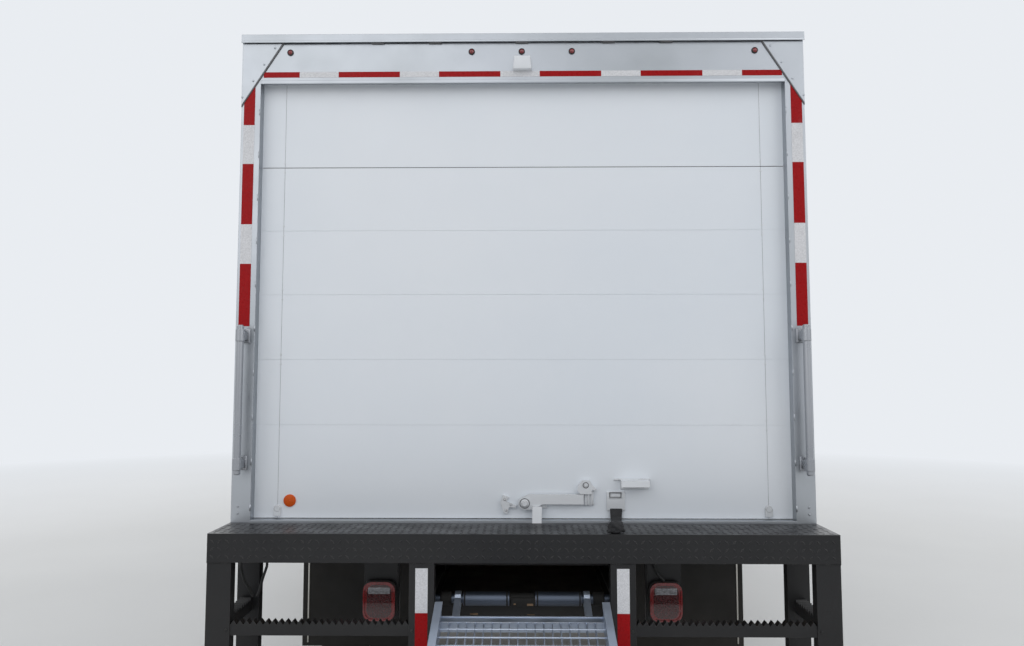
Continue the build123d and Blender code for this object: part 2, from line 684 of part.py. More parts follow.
with BuildPart() as grille:
    y = front_y - hood_front - 8
    block(-grille_half, grille_half, y - 20, y, grille_low, grille_low + 30)
    block(-grille_half, grille_half, y - 20, y, grille_high - 30, grille_high)
    for x in range(-400, 401, 80):
        block(x - 12, x + 12, y - 20, y, grille_low, grille_high)
save(grille, "grille")

with BuildPart() as headlamps:
    y = front_y - hood_front - 66
    for side in (-1, 1):
        block(side * lamp_inner, side * lamp_outer, y - 60, y + 60, lamp_low, lamp_high)
save(headlamps, "headlamps")

# Cargo floor: planks on cross channels, on two long sills over the chassis rails
cargo_front_y = front_y - cargo_start
floor_low = cargo_floor_top - cargo_floor_thickness
crossmember_gap = 400
with BuildPart() as cargo_floor:
    half = body_half - cargo_wall - seat_gap
    rear = frame_y + frame_depth + curtain_thickness + 5
    front = cargo_front_y - cargo_wall - seat_gap
    sill_top = rail_top + cargo_sill_height
    block(-half, half, rear, front, floor_low, cargo_floor_top)
    for side in (-1, 1):
        block(side * (rail_half_width - rail_flange), side * rail_half_width, rear, front, rail_top, sill_top)
    for place in range(int((front - rear) / crossmember_gap)):
        y = rear + crossmember_gap * (place + 0.5)
        block(-half, half, y - 40, y, sill_top + seat_gap, floor_low - seat_gap)
save(cargo_floor, "cargo_floor")

# Cargo walls and roof
corner_radius = 60
with BuildPart() as cargo_front_wall:
    plan = [(-body_half, cargo_front_y - 120), (-body_half, cargo_front_y), (body_half, cargo_front_y),
            (body_half, cargo_front_y - 120), (body_half - cargo_wall, cargo_front_y - 120),
            (body_half - cargo_wall, cargo_front_y - cargo_wall),
            (cargo_wall - body_half, cargo_front_y - cargo_wall), (cargo_wall - body_half, cargo_front_y - 120)]
    extrude(outline(Plane.XY.offset(cargo_bottom), plan), amount=cargo_top - cargo_bottom)
    corners = cargo_front_wall.edges().filter_by(Axis.Z).group_by(Axis.Y)[-1]
    fillet(corners, corner_radius)
save(cargo_front_wall, "cargo_front_wall")

wall_front = cargo_front_y - 120
wall_rear = frame_y + frame_depth
for name, side in (("left", -1), ("right", 1)):
    outer, skin, inner = side * body_half, side * (body_half - 6), side * (body_half - cargo_wall)
    with BuildPart() as cargo_side:
        section = [(inner, cargo_bottom), (outer, cargo_bottom), (outer, cargo_bottom + 110),
                   (skin, cargo_bottom + 115), (skin, cargo_top - 115), (outer, cargo_top - 110),
                   (outer, cargo_top - 20), (outer - side * 20, cargo_top), (inner, cargo_top)]
        extrude(outline(Plane.XZ.offset(-wall_front), section), amount=wall_front - wall_rear)
    save(cargo_side, f"cargo_side_{name}")

with BuildPart() as cargo_roof:
    half = body_half - cargo_wall - seat_gap
    block(-half, half, wall_rear, cargo_front_y - cargo_wall - seat_gap, cargo_top - 45, cargo_top - 5)
save(cargo_roof, "cargo_roof")

# Rear frame: posts, header with a drip cap and corner gussets, and a low sill
opening_half = body_half - post_width
header_low = frame_top - header_height
with BuildPart() as rear_frame:
    block(-body_half, body_half, frame_y, frame_y + frame_depth, deck_top - 30, frame_top)
    block(-opening_half, opening_half, frame_y, frame_y + frame_depth, deck_top + sill_height, header_low,
          mode=Mode.SUBTRACT)
    block(-body_half - 4, body_half + 4, frame_y - 12, frame_y + frame_depth, frame_top, frame_top + frame_cap)
    for side in (-1, 1):
        edge = side * body_half
        gusset = [(edge, frame_top), (edge - side * 189, frame_top), (edge, frame_top - 300)]
        extrude(outline(Plane.XZ.offset(-frame_y), gusset), amount=4)
save(rear_frame, "rear_frame")

# Roll-up door: a sectional curtain closed behind the posts, its joints pressed as grooves
panel_heights = (415, 297, 297, 297, 297)
curtain_low = deck_top + sill_height + 2
curtain_face = frame_y + frame_depth
curtain_half = opening_half + 22
with BuildPart() as rollup_door:
    block(-curtain_half, curtain_half, curtain_face, curtain_face + curtain_thickness, curtain_low,
          header_low + 30)
    level = curtain_low
    for place, height in enumerate(panel_heights):
        level += height
        groove = 3 if place == len(panel_heights) - 1 else 1    # the top joint stands a little open
        block(-curtain_half, curtain_half, curtain_face, curtain_face + groove, level - groove / 2,
              level + groove / 2, mode=Mode.SUBTRACT)
save(rollup_door, "rollup_door")

# Door latch: lever, tongue to the sill and the keepers, on the curtain's face
with BuildPart() as door_latch:
    block(-75, -22, curtain_face - 6, curtain_face, 1135, 1218)
    block(20, 330, curtain_face - 8, curtain_face, 1150, 1215)
    block(43, 92, curtain_face - 45, curtain_face - 20, 1102, 1170)
    block(-22, 280, curtain_face - 20, curtain_face - 8, 1170, 1214)
    bar((9, curtain_face - 32, 1176), (9, curtain_face, 1176), 19, 16)
    block(43, 92, curtain_face - 20, curtain_face - 8, 1150, 1172)
    block(243, 333, curtain_face - 12, curtain_face, 1214, 1278)
    block(381, 464, curtain_face - 8, curtain_face, 1136, 1222)
    block(414, 562, curtain_face - 30, curtain_face - 22, 1234, 1284)
    block(414, 562, curtain_face - 30, curtain_face, 1234, 1242)
save(door_latch, "door_latch")

# Grab handles on the posts
handle_x = 1250
handle_out = 65
with BuildPart() as grab_handles:
    for side in (-1, 1):
        x = side * handle_x
        y = frame_y - handle_out
        bar((x, y, 1310), (x, y, 1960), 15.5, 16)
        for z in (1352, 1918):
            block(x - 24, x + 24, y + 6, frame_y, z - 32, z + 32)
save(grab_handles, "grab_handles")

# Marker lamps on the header and on the cab roof
marker_z = 3236
with BuildPart() as marker_lamps:
    for x in (-1070, -232, 0, 232, 1070):
        bar((x, frame_y - 14, marker_z), (x, frame_y, marker_z), 13.5, 16)
    for x in (-760, -150, 0, 150, 760):
        y = front_y - cab_start - windshield_run - 300
        block(x - 45, x + 45, y - 40, y + 40, cab_top, cab_top + 30)
save(marker_lamps, "marker_lamps")

# Tail lamps under the deck
lamp_x = 631
lamp_width, lamp_height = 147, 173
lamp_low_edge = 662
with BuildPart() as tail_lamps:
    for side in (-1, 1):
        x0, x1 = side * (lamp_x - lamp_width / 2), side * (lamp_x + lamp_width / 2)
        lens = [(x0, lamp_low_edge), (x1, lamp_low_edge), (x1, lamp_low_edge + lamp_height), (x0, lamp_low_edge + lamp_height)]
        extrude(outline(Plane.XZ.offset(-frame_y - 50), lens, bevel=12), amount=50)
save(tail_lamps, "tail_lamps")

# Step bumper: a beam on posts, with serrated step bars between and beside them
outer_post = 100
inner_post = 103
slot_half = ramp_width / 2 + 10
post_low = 360
post_depth = 50
beam_low = deck_top - beam_height
post_top = beam_low - 30
deck_plate = 5
step_levels = (740, 420)
step_bar = 42
tooth = 18
tooth_pitch = 27
second_post_ahead = 362


def serrated_bar(plane, start, end, top, thickness):
    """A step bar standing on edge, its top cut into even teeth."""
    count = round(abs(end - start) / tooth_pitch)
    pitch = (end - start) / count
    points = [(start, top - tooth - step_bar), (start, top - tooth)]
    for place in range(count):
        points += [(start + pitch * (place + 0.5), top), (start + pitch * (place + 1), top - tooth)]
    extrude(outline(plane, points + [(end, top - tooth - step_bar)]), amount=thickness)


with BuildPart() as step_bumper:
    block(-body_half, body_half, bumper_y + deck_plate, bumper_y + 65, beam_low, deck_top - deck_plate)
    second_y = bumper_y + second_post_ahead
    for side in (-1, 1):
        edge, inside = side * body_half, side * (body_half - outer_post)
        slot, slot_post = side * slot_half, side * (slot_half + inner_post)
        post_y = bumper_y + deck_plate
        for x0, x1, y0 in ((edge, inside, post_y), (slot, slot_post, post_y), (edge, inside, second_y)):
            block(x0, x1, y0, y0 + post_depth, post_low, beam_low - seat_gap)
        block(edge, inside, bumper_y + 65 + seat_gap, second_y + 55, beam_low, cargo_bottom - seat_gap)
        block(side * 556, side * 706, frame_y + 50, frame_y + 56, 662, deck_top - 30 - seat_gap)
        block(side * 362, side * 432, bumper_y + 65 + seat_gap, frame_y - seat_gap, rail_top, deck_top - deck_plate)
        for top in step_levels:
            ends = sorted((slot_post + side * seat_gap, inside - side * seat_gap))
            serrated_bar(Plane.XZ.offset(-bumper_y - 45), *ends, top, 35)
            serrated_bar(Plane.YZ.offset(min(edge - side * 20, edge - side * 70)), post_y + post_depth + seat_gap, second_y - seat_gap,
                         top, 50)
save(step_bumper, "step_bumper")

with BuildPart() as bumper_deck:
    block(-body_half, body_half, bumper_y, frame_y, deck_top - deck_plate, deck_top)
    block(-body_half, body_half, bumper_y, bumper_y + deck_plate, beam_low, deck_top)
save(bumper_deck, "bumper_deck")

# Ramp tracks inside the chassis rails, and the carriage that rolls in them
track_z = ramp_pivot_height
track_plate = 6
roller_radius = 29
track_half = roller_radius + seat_gap + track_plate
pipe_radius = 19
with BuildPart() as ramp_tracks:
    for side in (-1, 1):
        outer = side * (rail_half_width - rail_plate)
        block(outer, outer - side * track_plate, bumper_y + 80, frame_y + 2500, track_z - track_half, track_z + track_half)
        for z in (track_z - track_half, track_z + track_half - track_plate):
            block(outer, outer - side * 58, bumper_y + 80, frame_y + 2500, z, z + track_plate)
    pan_top = track_z - track_half - seat_gap    # keeps road dirt off the stowed ramp
    pan_half = rail_half_width - rail_plate - seat_gap
    pan_rear = pivot_y + 62
    block(-pan_half, pan_half, pan_rear, pan_rear + 700, pan_top - 3, pan_top)
    block(-pan_half, pan_half, pan_rear, pan_rear + 6, pan_top - 70, pan_top - 3 - seat_gap)
save(ramp_tracks, "ramp_tracks")

with BuildPart() as ramp_carriage:
    rod((-412, pivot_y, track_z), (412, pivot_y, track_z), pipe_radius)
    for side in (-1, 1):
        for start, end in ((372, 412), (298, 345), (54, 250)):    # roller, collar and sleeve
            bar((side * start, pivot_y, track_z), (side * end, pivot_y, track_z), roller_radius, 16)
save(ramp_carriage, "ramp_carriage")

# Ramp: side rails and an open grating, drawn along the slope and square to it
def ramp_view(x):
    """Side view seen from the left: along the ramp from the pivot, and height square to it."""
    return Plane(origin=(x, pivot_y, ramp_pivot_height), x_dir=(0, -cos(slope), -sin(slope)),
                 z_dir=(-1, 0, 0))


def ramp_bar(x0, x1, along0, along1, low, high):
    points = [(along0, low), (along1, low), (along1, high), (along0, high)]
    extrude(outline(ramp_view(max(x0, x1)), points), amount=abs(x1 - x0))


ground_hit = (ramp_pivot_height + ramp_rail_bottom * cos(slope)) / sin(slope)
inner_half = ramp_width / 2 - ramp_rail_thickness
ramp_arm_x = 258
ramp_arm_plate = 26
grating_bar_height = 25
grating_start = ramp_rail_start + 45
grating_end = ramp_length - ramp_taper - 20
cross_channel = 36
cross_channels = 7
with BuildPart() as ramp_frame:
    rail = [(ramp_rail_start, ramp_rail_bottom), (ramp_rail_start, ramp_rail_top),
            (ramp_length - ramp_taper, ramp_rail_top), (ramp_length, toe_level + 8), (ramp_length, toe_level),
            (ground_hit, ramp_rail_bottom)]
    for x in (ramp_width / 2, -inner_half):
        extrude(outline(ramp_view(x), rail), amount=ramp_rail_thickness)
    between = inner_half - seat_gap
    ramp_bar(-between, between, ramp_rail_start + 10, grating_start, ramp_rail_bottom, ramp_deck_level)
    toe = [(grating_end, ramp_rail_bottom), (grating_end, ramp_deck_level), (ramp_length, toe_level + 8),
           (ramp_length, toe_level), (ground_hit, ramp_rail_bottom)]
    extrude(outline(ramp_view(between), toe), amount=2 * between)
    step = (grating_end - grating_start) / (cross_channels + 1)
    for place in range(1, cross_channels + 1):
        along = grating_start + place * step
        ramp_bar(-between, between, along - cross_channel / 2, along + cross_channel / 2,
                 ramp_rail_bottom, ramp_deck_level - grating_bar_height - seat_gap)
    for side in (-1, 1):
        x0, x1 = side * ramp_arm_x, side * (ramp_arm_x + ramp_arm_plate)
        ramp_bar(x0, x1, 0, ramp_rail_start + 10 - seat_gap, -20, 20)
        bar((x0, pivot_y, track_z), (x1, pivot_y, track_z), pipe_radius + 13, 16)
        bar((x0, pivot_y, track_z), (x1, pivot_y, track_z), pipe_radius + running_gap, bearing_sides, mode=Mode.SUBTRACT)
save(ramp_frame, "ramp_frame")

grating_bars = 18
grating_bar_width = 5
with BuildPart() as ramp_grating:
    pitch = (2 * inner_half - grating_bar_width) / (grating_bars + 1)
    for place in range(1, grating_bars + 1):
        x = -inner_half + place * pitch
        ramp_bar(x, x + grating_bar_width, grating_start, grating_end, ramp_deck_level - grating_bar_height,
                 ramp_deck_level)
save(ramp_grating, "ramp_grating")
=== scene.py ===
# Box truck with a pull-out ramp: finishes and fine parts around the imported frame
import json
import math
import random

import bmesh
import bpy
from mathutils import Matrix, Vector


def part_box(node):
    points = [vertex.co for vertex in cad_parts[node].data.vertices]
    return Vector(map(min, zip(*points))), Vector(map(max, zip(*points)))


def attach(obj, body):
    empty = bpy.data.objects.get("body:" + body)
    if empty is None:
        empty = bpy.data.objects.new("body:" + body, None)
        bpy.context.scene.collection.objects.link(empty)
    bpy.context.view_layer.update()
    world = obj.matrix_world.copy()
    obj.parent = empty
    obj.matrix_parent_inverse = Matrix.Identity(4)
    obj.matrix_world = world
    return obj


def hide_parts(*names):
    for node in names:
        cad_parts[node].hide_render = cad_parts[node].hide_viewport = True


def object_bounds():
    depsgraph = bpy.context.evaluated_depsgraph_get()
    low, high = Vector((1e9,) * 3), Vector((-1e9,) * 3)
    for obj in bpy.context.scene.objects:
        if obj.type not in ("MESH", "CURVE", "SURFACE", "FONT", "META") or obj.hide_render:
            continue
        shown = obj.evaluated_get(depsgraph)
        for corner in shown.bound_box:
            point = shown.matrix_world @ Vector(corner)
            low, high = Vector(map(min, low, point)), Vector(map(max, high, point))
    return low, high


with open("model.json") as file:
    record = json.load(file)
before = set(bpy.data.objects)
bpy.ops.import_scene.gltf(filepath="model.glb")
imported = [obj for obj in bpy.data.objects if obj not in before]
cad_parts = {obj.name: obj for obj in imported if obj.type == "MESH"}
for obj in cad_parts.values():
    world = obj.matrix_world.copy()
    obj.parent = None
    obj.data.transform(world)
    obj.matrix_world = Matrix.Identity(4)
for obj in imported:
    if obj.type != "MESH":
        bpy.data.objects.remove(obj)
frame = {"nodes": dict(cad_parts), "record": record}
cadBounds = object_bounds()
print("frame loaded:", len(frame["nodes"]), "nodes")


# Shader helpers
def newShader(name):
    material = bpy.data.materials.new(name)
    material.use_nodes = True
    return material, material.node_tree, material.node_tree.nodes["Principled BSDF"]


def setInputs(tree, node, values):
    # Each value is another node's socket, which is linked, or a plain value
    for key, value in values.items():
        if isinstance(value, bpy.types.NodeSocket):
            tree.links.new(value, node.inputs[key])
        else:
            node.inputs[key].default_value = value


def addNode(tree, kind, inputs=None, **settings):
    node = tree.nodes.new("ShaderNode" + kind)
    for key, value in settings.items():
        setattr(node, key, value)
    setInputs(tree, node, inputs or {})
    return node


def mixColor(tree, factor, first, second, blend="MIX"):
    return addNode(tree, "Mix", {0: factor, 6: first, 7: second},
                   data_type="RGBA", blend_type=blend).outputs[2]


def spread(tree, value, low, high, start=0.0, end=1.0):
    return addNode(tree, "MapRange", {"Value": value, "From Min": low, "From Max": high,
                                      "To Min": start, "To Max": end}).outputs["Result"]


def combine(tree, first, second, operation="MULTIPLY", clamp=True):
    return addNode(tree, "Math", {0: first, 1: second}, operation=operation, use_clamp=clamp).outputs[0]


def objectPlace(tree):
    return addNode(tree, "TexCoord").outputs["Object"]


def noise(tree, coords, scale, detail=3.0, stretch=None):
    if stretch:
        coords = addNode(tree, "Mapping", {"Vector": coords, "Scale": stretch}).outputs["Vector"]
    return addNode(tree, "TexNoise", {"Vector": coords, "Scale": scale, "Detail": detail}).outputs["Fac"]


def relief(tree, height, strength, distance, normal=None):
    inputs = {"Height": height, "Strength": strength, "Distance": distance}
    if normal is not None:
        inputs["Normal"] = normal
    return addNode(tree, "Bump", inputs).outputs["Normal"]


def rgba(color):
    return (*color, 1.0)


def darker(color, share):
    return rgba(tuple(share * part for part in color[:3]))


# Every plain finish is one row: colour, patchiness, roughness, fine bump, road dust and worn edges
finishDefaults = {"second": None, "patch": 1.5, "metallic": 0.0, "rough": (0.3, 0.45), "grain": 300.0, "bump": 0.05,
                  "stretch": None, "coat": 0.0, "round": 0.003, "dust": 0.25, "dustTop": 1.1, "wear": 0.0,
                  "wornColor": (0.30, 0.29, 0.28), "wave": 0.0, "specular": 0.5}
dustColor = rgba((0.33, 0.29, 0.24))


def makeFinish(name, chosen):
    look = {**finishDefaults, **chosen}
    material, tree, shader = newShader(name)
    place = objectPlace(tree)
    patches = noise(tree, place, look["patch"], 5.0)
    grain = noise(tree, place, look["grain"], 2.0, look["stretch"])
    second = rgba(look["second"]) if look["second"] else darker(look["color"], 0.9)
    color = mixColor(tree, spread(tree, patches, 0.35, 0.65), rgba(look["color"]), second)
    roughness = spread(tree, noise(tree, place, look["patch"] * 6, 4.0), 0.3, 0.7, *look["rough"])
    height = addNode(tree, "SeparateXYZ", {"Vector": place}).outputs["Z"]
    if look["dust"]:
        film = combine(tree, spread(tree, height, look["dustTop"], 0.2), spread(tree, patches, 0.25, 0.75))
        film = combine(tree, film, look["dust"])
        color = mixColor(tree, film, color, dustColor)
        roughness = combine(tree, roughness, film, "ADD")
    rounded = addNode(tree, "Bevel", {"Radius": look["round"]}, samples=4).outputs["Normal"]
    if look["wear"]:
        flat = addNode(tree, "NewGeometry").outputs["Normal"]
        facing = addNode(tree, "VectorMath", {0: rounded, 1: flat}, operation="DOT_PRODUCT").outputs["Value"]
        edges = combine(tree, spread(tree, facing, 0.985, 0.90), spread(tree, noise(tree, place, 22.0), 0.42, 0.6))
        color = mixColor(tree, combine(tree, edges, look["wear"]), color, rgba(look["wornColor"]))
    surface = relief(tree, grain, look["bump"], 0.002, rounded)
    if look["wave"]:    # slow waves that show in thin sheet
        surface = relief(tree, noise(tree, place, 2.2, 2.0), look["wave"], 0.02, surface)
    setInputs(tree, shader, {"Base Color": color, "Roughness": roughness, "Normal": surface,
                             "Metallic": look["metallic"], "Coat Weight": look["coat"],
                             "Specular IOR Level": look["specular"], "Coat Roughness": 0.08})
    return material


def looks(color, **rest):
    return {"color": color, **rest}


plainLooks = {
    "doorWhite": looks((0.80, 0.83, 0.87), second=(0.76, 0.80, 0.85), rough=(0.32, 0.5), dust=0.10, dustTop=1.7,
                       wave=0.10, patch=0.9),
    "stainless": looks((0.42, 0.44, 0.47), second=(0.37, 0.39, 0.41), metallic=1.0, rough=(0.32, 0.42), grain=60.0,
                       stretch=(40.0, 40.0, 0.6), dust=0.12, dustTop=1.6, wave=0.06),
    "cabWhite": looks((0.84, 0.84, 0.83), second=(0.81, 0.81, 0.80), rough=(0.20, 0.24), coat=0.5, bump=0.02,
                      dust=0.3),
    "chassisBlack": looks((0.016, 0.016, 0.017), rough=(0.42, 0.62), wear=0.4, wornColor=(0.16, 0.15, 0.14),
                          dust=0.16, bump=0.15, specular=0.35),
    "bumperBlack": looks((0.010, 0.010, 0.011), second=(0.016, 0.016, 0.017), rough=(0.30, 0.48), wear=0.7,
                         wornColor=(0.10, 0.095, 0.09), dust=0.05, bump=0.2, grain=180.0, specular=0.32),
    # the ramp's blue tint is a painted reflection of a blue sky on plain aluminium
    "rampAluminiumSkyTint": looks((0.50, 0.56, 0.66), second=(0.42, 0.48, 0.58), metallic=0.9, rough=(0.30, 0.5),
                           grain=90.0, stretch=(30.0, 1.0, 1.0), bump=0.12, wear=0.5, wornColor=(0.8, 0.8, 0.8),
                           dust=0.15),
    "boxSheet": looks((0.83, 0.84, 0.85), second=(0.80, 0.81, 0.82), rough=(0.30, 0.36), wave=0.05, dust=0.2,
                      dustTop=1.8, patch=0.8),
    "roofSheet": looks((0.50, 0.51, 0.52), metallic=0.6, rough=(0.42, 0.5), wave=0.1, dust=0.0),
    "axleIron": looks((0.05, 0.05, 0.054), rough=(0.5, 0.7), bump=0.5, grain=140.0, dust=0.6, wear=0.5,
                      wornColor=(0.22, 0.15, 0.10)),
    "springSteel": looks((0.05, 0.05, 0.05), second=(0.08, 0.06, 0.05), rough=(0.5, 0.7), dust=0.5, wear=0.6,
                         wornColor=(0.25, 0.16, 0.10)),
    "tankAluminium": looks((0.62, 0.63, 0.65), metallic=1.0, rough=(0.30, 0.38), grain=80.0,
                           stretch=(1.0, 0.5, 20.0), dust=0.3, dustTop=0.9),
    "exhaustSteel": looks((0.42, 0.40, 0.37), second=(0.34, 0.27, 0.20), metallic=0.9, rough=(0.4, 0.6), dust=0.4),
    "flapRubber": looks((0.011, 0.011, 0.011), rough=(0.6, 0.78), bump=0.3, dust=0.10, specular=0.25),
    "rimWhite": looks((0.78, 0.78, 0.77), rough=(0.28, 0.42), dust=0.5, wear=0.5, wornColor=(0.30, 0.20, 0.14)),
    "cabPlastic": looks((0.10, 0.10, 0.105), rough=(0.5, 0.62), grain=700.0, bump=0.4, dust=0.0),
    "wheelPlastic": looks((0.03, 0.03, 0.03), rough=(0.42, 0.55), grain=800.0, bump=0.3, dust=0.0),
    "mirrorShell": looks((0.04, 0.04, 0.042), rough=(0.35, 0.5), grain=500.0, bump=0.2),
    "radiatorCore": looks((0.22, 0.22, 0.23), metallic=0.8, rough=(0.4, 0.6), grain=40.0, stretch=(1.0, 1.0, 30.0),
                          bump=0.8, dust=0.5),
    "engineBlock": looks((0.12, 0.13, 0.14), rough=(0.5, 0.7), bump=0.6, grain=90.0, dust=0.5),
    "polished": looks((0.80, 0.80, 0.80), second=(0.74, 0.74, 0.74), metallic=1.0, rough=(0.07, 0.18), bump=0.02,
                      dust=0.2, dustTop=0.8),
    "carriageSteel": looks((0.10, 0.12, 0.16), second=(0.07, 0.085, 0.11), metallic=0.85, rough=(0.34, 0.5),
                           wear=0.6, wornColor=(0.30, 0.17, 0.09), dust=0.1),
    "handleSteel": looks((0.36, 0.37, 0.39), second=(0.30, 0.31, 0.33), metallic=1.0, rough=(0.24, 0.38), dust=0.1),
    "rust": looks((0.26, 0.17, 0.09), second=(0.14, 0.09, 0.06), rough=(0.7, 0.9), bump=0.6, patch=30.0, dust=0.0),
    "zincBolt": looks((0.55, 0.54, 0.50), metallic=1.0, rough=(0.3, 0.5), dust=0.3, round=0.001),
    "sealRubber": looks((0.018, 0.018, 0.018), rough=(0.55, 0.7), dust=0.1),
    "webbing": looks((0.02, 0.02, 0.022), rough=(0.7, 0.85), grain=900.0, bump=0.9, dust=0.0),
    "latchWhite": looks((0.74, 0.76, 0.79), second=(0.62, 0.64, 0.66), rough=(0.35, 0.5), wear=0.7,
                        wornColor=(0.25, 0.22, 0.20), dust=0.1),
    # dark joint lines, and the painted shade under the header cap and round the latch's parts
    "seamShade": looks((0.13, 0.13, 0.135), rough=(0.6, 0.75), dust=0.0),
    "collarGrey": looks((0.17, 0.17, 0.165), second=(0.11, 0.11, 0.11), rough=(0.4, 0.55), patch=20.0, dust=0.0),
    "mirrorGlass": looks((0.88, 0.89, 0.90), metallic=1.0, rough=(0.02, 0.05), bump=0.0, dust=0.0),
}
finishes = {name: makeFinish(name, look) for name, look in plainLooks.items()}
print("plain finishes:", len(finishes))


def makeLens(name, color, glow=0.0, ribs=(220.0, 220.0, 220.0)):
    material, tree, shader = newShader(name)
    place = objectPlace(tree)
    ribbed = addNode(tree, "Mapping", {"Vector": place, "Scale": ribs}).outputs[0]
    cells = addNode(tree, "TexVoronoi", {"Vector": ribbed, "Scale": 1.0}).outputs["Distance"]
    setInputs(tree, shader, {
        "Base Color": mixColor(tree, spread(tree, cells, 0.1, 0.7), rgba(color), darker(color, 0.45)),
        "Normal": relief(tree, cells, 0.25, 0.002),
        "Roughness": spread(tree, noise(tree, place, 30.0), 0.3, 0.7, 0.08, 0.2),
        "Coat Weight": 0.6, "Emission Color": rgba(color), "Emission Strength": glow})
    return material


def makeTapeFinish(name, color):
    # Prismatic tape: small cells, each of a slightly different shade
    material, tree, shader = newShader(name)
    place = objectPlace(tree)
    cells = addNode(tree, "TexVoronoi", {"Vector": place, "Scale": 260.0}, feature="F1")
    shade = addNode(tree, "SeparateColor", {"Color": cells.outputs["Color"]}).outputs[0]
    shade = spread(tree, shade, 0.0, 1.0, 0.86, 1.06)
    lit = addNode(tree, "VectorMath", {0: color, "Scale": shade}, operation="SCALE").outputs[0]
    soil = spread(tree, noise(tree, place, 9.0, 6.0), 0.6, 0.9, 0.0, 0.25)
    setInputs(tree, shader, {
        "Base Color": mixColor(tree, soil, lit, rgba((0.20, 0.18, 0.17))),
        "Roughness": spread(tree, noise(tree, place, 40.0), 0.3, 0.7, 0.22, 0.4),
        "Normal": relief(tree, cells.outputs["Distance"], 0.2, 0.001), "Specular IOR Level": 0.15})
    return material


def makeGlass(name, color):
    material, tree, shader = newShader(name)
    film = spread(tree, noise(tree, objectPlace(tree), 3.0, 6.0), 0.45, 0.75, 0.02, 0.12)
    setInputs(tree, shader, {
        "Roughness": film, "Base Color": mixColor(tree, film, rgba(color), rgba((0.6, 0.6, 0.58))),
        "Transmission Weight": 0.92, "IOR": 1.45})
    return material


def makeRubber(name, color):
    material, tree, shader = newShader(name)
    place = objectPlace(tree)
    fine = noise(tree, place, 420.0)
    dusty = spread(tree, noise(tree, place, 7.0, 6.0), 0.42, 0.72, 0.0, 0.55)
    setInputs(tree, shader, {
        "Base Color": mixColor(tree, dusty, rgba(color), rgba((0.11, 0.10, 0.088))),
        "Roughness": spread(tree, fine, 0.3, 0.7, 0.62, 0.85), "Normal": relief(tree, fine, 0.25, 0.001)})
    return material


def makePlanks(name, color):
    material, tree, shader = newShader(name)
    place = objectPlace(tree)
    boards = addNode(tree, "TexBrick", {"Vector": place, "Color1": rgba(color), "Color2": rgba((0.33, 0.22, 0.12)),
                                        "Mortar": rgba((0.05, 0.035, 0.02)), "Scale": 1.0, "Mortar Size": 0.004,
                                        "Brick Width": 0.15, "Row Height": 2.4})
    figure = noise(tree, place, 6.0, 8.0, (14.0, 0.8, 14.0))
    setInputs(tree, shader, {
        "Base Color": mixColor(tree, spread(tree, figure, 0.4, 0.6), boards.outputs["Color"],
                               rgba((0.24, 0.16, 0.09)), "MULTIPLY"),
        "Roughness": spread(tree, figure, 0.3, 0.7, 0.45, 0.7), "Normal": relief(tree, figure, 0.3, 0.002)})
    return material


def makeCloth(name, color):
    material, tree, shader = newShader(name)
    place = objectPlace(tree)
    warp, weft = (addNode(tree, "TexWave", {"Vector": place, "Scale": 260.0}, bands_direction=way).outputs["Fac"]
                  for way in "XZ")
    weave = combine(tree, warp, weft)
    faded = spread(tree, noise(tree, place, 5.0, 5.0), 0.35, 0.7)
    setInputs(tree, shader, {
        "Base Color": mixColor(tree, faded, rgba(color), darker(color, 0.6)),
        "Normal": relief(tree, weave, 0.35, 0.001), "Roughness": spread(tree, weave, 0.0, 1.0, 0.75, 0.92),
        "Sheen Weight": 0.25})
    return material


madeLooks = {
    "redLens": (makeLens, (0.30, 0.006, 0.008), 0.01), "deepLens": (makeLens, (0.085, 0.006, 0.008), 0.0),
    "amberLens": (makeLens, (0.85, 0.30, 0.02), 0.04),
    "clearLens": (makeLens, (0.34, 0.34, 0.36), 0.0, (60.0, 60.0, 300.0)),
    "tapeRed": (makeTapeFinish, (0.34, 0.002, 0.004)), "tapeWhite": (makeTapeFinish, (0.72, 0.72, 0.74)),
    "reflector": (makeTapeFinish, (0.66, 0.10, 0.012)), "cabGlass": (makeGlass, (0.80, 0.88, 0.87)),
    "treadRubber": (makeRubber, (0.020, 0.020, 0.021)), "planks": (makePlanks, (0.42, 0.29, 0.17)),
    "seatCloth": (makeCloth, (0.22, 0.22, 0.24)),
}
for name, (make, *values) in madeLooks.items():
    finishes[name] = make(name, *values)

nodeFinishes = {
    "chassisBlack": "chassis_frame cab_steps ramp_tracks", "bumperBlack": "step_bumper bumper_deck",
    "engineBlock": "engine", "radiatorCore": "radiator",
    "axleIron": "front_axle rear_axle knuckle_left knuckle_right", "springSteel": "leaf_springs",
    "tankAluminium": "fuel_tank", "exhaustSteel": "exhaust", "flapRubber": "mud_flaps",
    "redLens": "tail_lamps marker_lamps", "rampAluminiumSkyTint": "ramp_carriage ramp_frame ramp_grating",
    "cabPlastic": "cab_floor dashboard", "wheelPlastic": "steering_wheel", "seatCloth": "seats",
    "cabWhite": "cab_back_wall cab_roof cab_side_left cab_side_right cab_front hood door_left door_right",
    "cabGlass": "windshield door_glass_left door_glass_right", "polished": "front_bumper grille grab_handles",
    "clearLens": "headlamps", "mirrorShell": "mirror_left mirror_right",
    "treadRubber": "front_tyre_left front_tyre_right rear_tyres_left rear_tyres_right",
    "rimWhite": "front_rim_left front_rim_right rear_rims_left rear_rims_right", "planks": "cargo_floor",
    "boxSheet": "cargo_front_wall cargo_side_left cargo_side_right", "roofSheet": "cargo_roof",
    "stainless": "rear_frame", "doorWhite": "rollup_door", "latchWhite": "door_latch",
}
for finish, names in nodeFinishes.items():
    for name in names.split():
        for holder in frame["nodes"][name].material_slots:
            holder.material = finishes[finish]
print("node finishes set")

